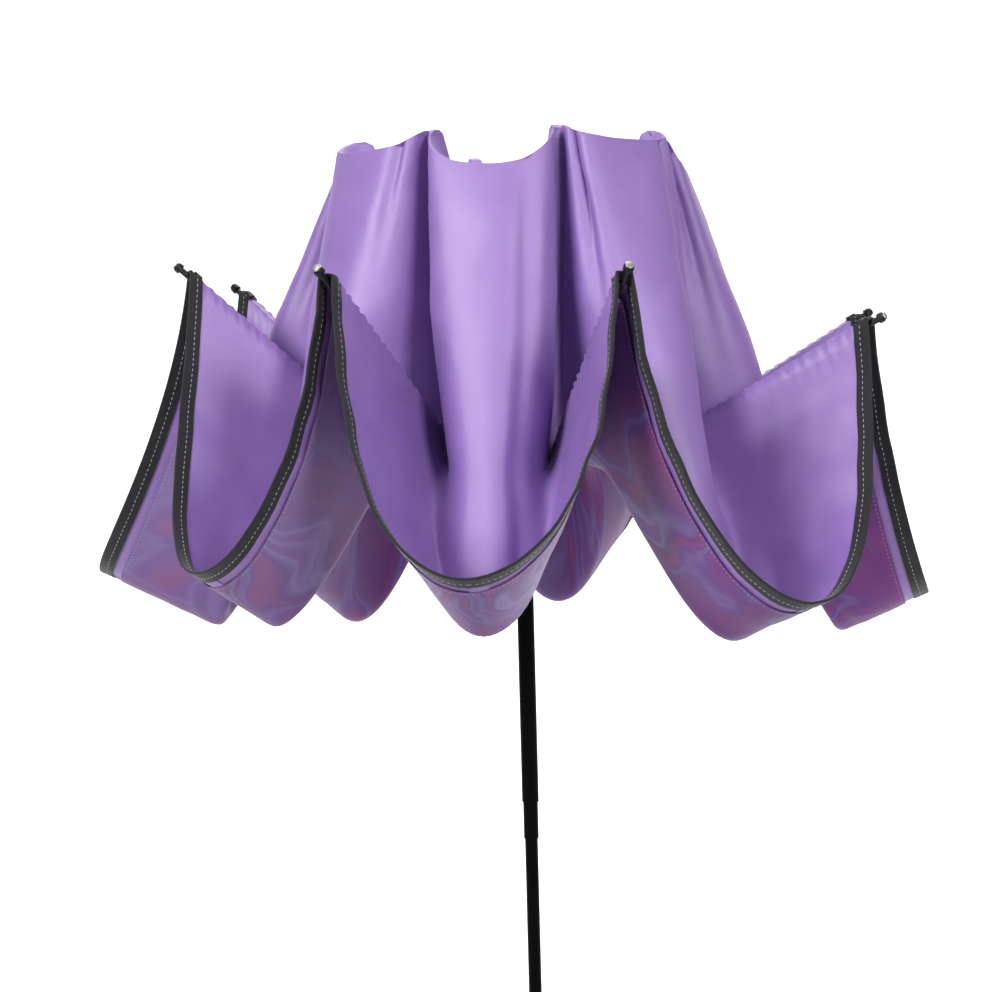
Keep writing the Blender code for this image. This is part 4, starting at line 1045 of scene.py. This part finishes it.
def lining_table(table, normals):
    near_rib = bell(arc_from_rib(table) / RIB_GAP_REACH)
    depth = LINING_GAP + (LINING_RIB_GAP - LINING_GAP) * near_rib * fade(3.0, 4.2, 8.2, 9.2)
    pushed = table - normals * depth[..., None]
    for _ in range(CALM_PASSES):
        mean = (np.roll(pushed, 1, 1) + np.roll(pushed, -1, 1)) / 2
        pushed = pushed + (mean - pushed) * CALM_SHARE
    return pushed


lining = lining_table(canopy, canopy_normals)
short = np.concatenate([lining, source_rows[..., None]], axis=2)
short = cut_short(lining, row_of(SWAG_ROW), short, LINING_HEM)
lining, lining_rows = short[..., :3], short[..., 3]
lining_normals = normals_of(lining)
lining_cloth = (lining, lining_normals, lining_rows, marbled, "marbled_lining", LINING_LAP_DROP)
lining_swags = [hang("lining", lining_cloth, rib, LINING_FIRST, (LINING_LAP, LINING_LAP))
                for rib in range(RIBS)]
print("lining pieces:", 2 * RIBS)

# %% [markdown]
# ## Binding tape round the hem
#
# A grosgrain tape is folded over the raw edge and sewn down. It follows the canopy's last
# nine millimetres on the wet side, turns round the edge and comes back below. The same
# table trick gives one smooth band, cut into eight pieces at the gore middles.

# %% Hem tape
TAPE_WIDTH = 0.0090
TAPE_OVER, TAPE_UNDER = 0.00055, 0.00130
TAPE_THICKNESS = 0.00025


def read_from_hem(table, distance):
    """Each column read at a distance from its last row, as the table itself measures it."""
    back = table[::-1]
    return np.array([[np.interp(distance, run, part) for part in column.T]
                     for run, column in zip(travelled(back).T, back.swapaxes(0, 1))])


def beside_hem(distance, lift):
    """A row of places up from the hem, lifted along the cloth's normal."""
    return read_from_hem(canopy, distance) + read_from_hem(canopy_normals, distance) * lift


def band_table(width, over, under):
    """Rows of a tape that goes down the wet side, round the edge and back below."""
    downward = canopy[-1] - canopy[-2]
    downward = downward / np.linalg.norm(downward, axis=1, keepdims=True)
    middle, reach = (over - under) / 2, (over + under) / 2
    rows = [beside_hem(distance, over) for distance in np.linspace(width, 0, 5)]
    for turn in np.radians((60, 20, -20, -60)):
        lift = canopy_normals[-1] * (middle + reach * math.sin(turn))
        rows.append(canopy[-1] + downward * reach * math.cos(turn) + lift)
    rows += [beside_hem(distance, -under) for distance in np.linspace(0, width, 5)]
    return np.array(rows)


def along_rows(table):
    """UV of a band in metres: along the hem and across the band."""
    along = np.linalg.norm(table[4] - np.roll(table[4], 1, 0), axis=1).cumsum()
    across = travelled(table).mean(1)[:, None]
    return np.stack(np.broadcast_arrays(along, across), -1)


band = band_table(TAPE_WIDTH, TAPE_OVER, TAPE_UNDER)
band_normals = normals_of(band)
band_map = along_rows(band)
tapes = []
for rib in range(RIBS):
    chosen = piece_columns(rib, SWAG_LAP)
    ups = band_normals[:, chosen]
    places = with_lap(band[:, chosen], ups, TAPE_THICKNESS)
    mesh = grid_mesh(f"hem_tape_{rib + 1}", places, ups, (band_map[:, chosen],) * 2, TAPE_THICKNESS)
    tapes.append(add_piece(mesh, tape))
    swing(tapes[-1], rib)
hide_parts("hem_binding")
print("hem tape pieces:", len(tapes))

# %% [markdown]
# ## Stitches
#
# A light running stitch holds the tape on both faces, and a finer dotted seam holds the
# edge of the lining. Each stitch is a small flattened bead of thread that lies on the cloth
# along the seam.

# %% Running stitches
STITCH = (0.0022, 0.00046, 0.00032)
STITCH_GAP, STITCH_INSET = 0.0010, TAPE_WIDTH * 0.55
SEAM_STITCH = (0.0013, 0.00036, 0.00026)
SEAM_GAP, SEAM_INSET = 0.0015, 0.0016
PROUD = 0.00002


def stitch_places(path, normals, size, gap, offset):
    """A matrix for each stitch along a path, turned to the path and its normal."""
    along = travelled(path)
    pitch = size[0] + gap
    scale = Matrix.Diagonal((size[0] / 2, size[1] / 2, size[2] / 2, 1))
    for middle in np.arange(pitch / 2, along[-1], pitch):
        spot, ahead, up = (Vector([np.interp(d, along, source[:, axis]) for axis in range(3)])
                           for d, source in ((middle, path), (middle + gap, path), (middle, normals)))
        forward = (ahead - spot).normalized()
        side = up.cross(forward).normalized()
        turn = Matrix((forward, side, forward.cross(side))).transposed().to_4x4()
        yield Matrix.Translation(spot + up.normalized() * offset) @ turn @ scale


def stitch_row(name, places):
    """Beads of thread joined into one mesh, each drawn out and flattened by its matrix."""
    bm = bmesh.new()
    for place in places:
        bead.transform(place)
        bm.from_mesh(bead)
        bead.transform(place.inverted())
    return finished(bm, name)


bm = bmesh.new()
bmesh.ops.create_uvsphere(bm, u_segments=6, v_segments=4, radius=1)
bead = finished(bm, "bead")
hem_row = [read_from_hem(table, STITCH_INSET) for table in (canopy, canopy_normals)]
seam_row = [read_from_hem(table, SEAM_INSET) for table in (lining, lining_normals)]
seams = (
    ("stitch_in", hem_row, STITCH, STITCH_GAP, TAPE_OVER + PROUD),
    ("stitch_out", hem_row, STITCH, STITCH_GAP, -TAPE_UNDER - PROUD),
    ("stitch_seam", seam_row, SEAM_STITCH, SEAM_GAP, -CLOTH_THICKNESS - 2 * PROUD),
)
seam_rows = []
for rib in range(RIBS):
    chosen = piece_columns(rib)
    for name, (path, ups), size, gap, offset in seams:
        places = stitch_places(path[chosen], ups[chosen], size, gap, offset)
        seam_rows.append(add_piece(stitch_row(f"{name}_{rib + 1}", places), thread))
        swing(seam_rows[-1], rib)
bpy.data.meshes.remove(bead)
print("stitch rows:", len(seam_rows))

for rib in range(RIBS):
    declare_sheet(canopy_swags[rib])
    declare_sheet(lining_swags[rib])
print("swags declared:", 2 * RIBS)

# %% [markdown]
# ## Tip clips and studs
#
# Each rib ends in a mushroom-headed cap. A small moulded saddle behind it sits under the
# cloth's corner, which thread loops hold on the real umbrella, and a bright pressed stud closes the
# cap.

# %% Tips
SADDLE = (0.0062, 0.0046, 0.0022)
STUD_RADIUS, STUD_THICKNESS = 0.0026, 0.0005


def tip_frame(rib):
    """A tip's place, its outer rib's direction and the normal on the cloth's side."""
    angle = outer_angle(rib)
    return [in_space(part, rib) for part in (chain(rib)[3], heading(angle), left_of(angle))]


def rib_frame(rib, place):
    """A matrix with X along the outer rib, Z toward the cloth, at a place."""
    _, forward, up = tip_frame(rib)
    side = up.cross(forward)
    return Matrix.Translation(place) @ Matrix((forward, side, up)).transposed().to_4x4()


def rounded(bm, edges, offset, segments):
    bmesh.ops.bevel(bm, geom=edges, offset=offset, segments=segments, profile=0.5,
                    affect="EDGES", material=-1)


def add_tip(name, bm, rib, kind):
    """A finished bmesh as a piece that rides on the outer rib."""
    piece = add_piece(finished(bm, f"{name}_{rib + 1}"), hard[kind])
    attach(piece, f"outer_rib_{rib + 1}")


def add_stud(rib):
    """A stud on the far end of the moulded cap."""
    tip, forward, _ = tip_frame(rib)
    cap = nodes[f"tip_cap_{rib + 1}"]
    far = max((cap.matrix_world @ vert.co - tip).dot(forward) for vert in cap.data.vertices)
    bm = bmesh.new()
    bmesh.ops.create_cone(bm, cap_ends=True, segments=24, radius1=STUD_RADIUS,
                          radius2=STUD_RADIUS * 0.8, depth=STUD_THICKNESS)
    turn = Matrix.Rotation(math.pi / 2, 4, "Y")
    bm.transform(rib_frame(rib, tip + forward * (far + STUD_THICKNESS * 0.45)) @ turn)
    rim = [edge for edge in bm.edges if len(edge.link_faces) == 2 and edge.calc_face_angle() > 0.5]
    rounded(bm, rim, STUD_THICKNESS * 0.3, 2)
    add_tip("tip_stud", bm, rib, "stud")


def add_saddle(rib):
    """A saddle under the cloth's corner, seated behind the cap."""
    tip, forward, up = tip_frame(rib)
    bm = bmesh.new()
    bmesh.ops.create_cube(bm, size=1)
    bmesh.ops.scale(bm, vec=SADDLE, verts=bm.verts)
    rounded(bm, bm.edges[:], SADDLE[2] * 0.3, 3)
    lift = TIP_NECK_RADIUS + CLEAR + TAPE_OVER + SADDLE[2] * 0.35
    bm.transform(rib_frame(rib, tip - forward * SADDLE[0] * 0.8 + up * lift))
    add_tip("tip_clip", bm, rib, "moulded")


for rib in range(RIBS):
    add_stud(rib)
    add_saddle(rib)
print("tip studs and clips:", 2 * RIBS)

# %% [markdown]
# ## The bare patch
#
# One swag carries a small dark woven patch on its lining. It stays plain here. It lies on
# the lining as a second thin sheet of cloth, shaped from the lining's own places.

# %% Patch
PATCH_SIZE = (0.0210, 0.0100)
PATCH_LIFT = 0.0006
PATCH_ROWS, PATCH_COLUMNS = 7, 13


def read_between(table, rows, columns):
    """Places between a table's rows and columns."""
    a, b = rows.astype(int)[:, None], columns.astype(int)
    u, w = (rows % 1)[:, None, None], (columns % 1)[:, None]
    near = table[a, b] * (1 - u) + table[a + 1, b] * u
    far = table[a, b + 1] * (1 - u) + table[a + 1, b + 1] * u
    return near * (1 - w) + far * w


def patch_table():
    """Places of the patch, its normal and its rib, found where the CAD label lies."""
    low, high = (np.array(corner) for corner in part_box("label"))
    gaps = np.linalg.norm(lining - (low + high) / 2, axis=2)
    row, column = np.unravel_index(gaps.argmin(), gaps.shape)
    row_step = np.linalg.norm(lining[row + 1, column] - lining[row - 1, column]) / 2
    column_step = np.linalg.norm(lining[row, column + 1] - lining[row, column - 1]) / 2
    rows = row + np.linspace(-0.5, 0.5, PATCH_ROWS) * PATCH_SIZE[1] / row_step
    across = column + np.linspace(-0.5, 0.5, PATCH_COLUMNS) * PATCH_SIZE[0] / column_step
    normal = lining_normals[row, column]
    places = read_between(lining, rows, across) - normal * PATCH_LIFT
    return places, normal, int(round(column / GORE_COLUMNS)) % RIBS


patch_places, patch_normal, patch_rib = patch_table()
patch_map = np.stack(np.meshgrid(np.linspace(0, PATCH_SIZE[0], PATCH_COLUMNS),
                                 np.linspace(0, PATCH_SIZE[1], PATCH_ROWS)), -1)
patch_ups = np.broadcast_to(patch_normal, patch_places.shape)
mesh = grid_mesh("plain_patch", patch_places, patch_ups, (patch_map, patch_map), CLOTH_THICKNESS)
patch_piece = add_piece(mesh, patch)
swing(patch_piece, patch_rib)
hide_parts("label")
f"lining_swag_{patch_rib + 1}"
print("patch on rib", patch_rib + 1)
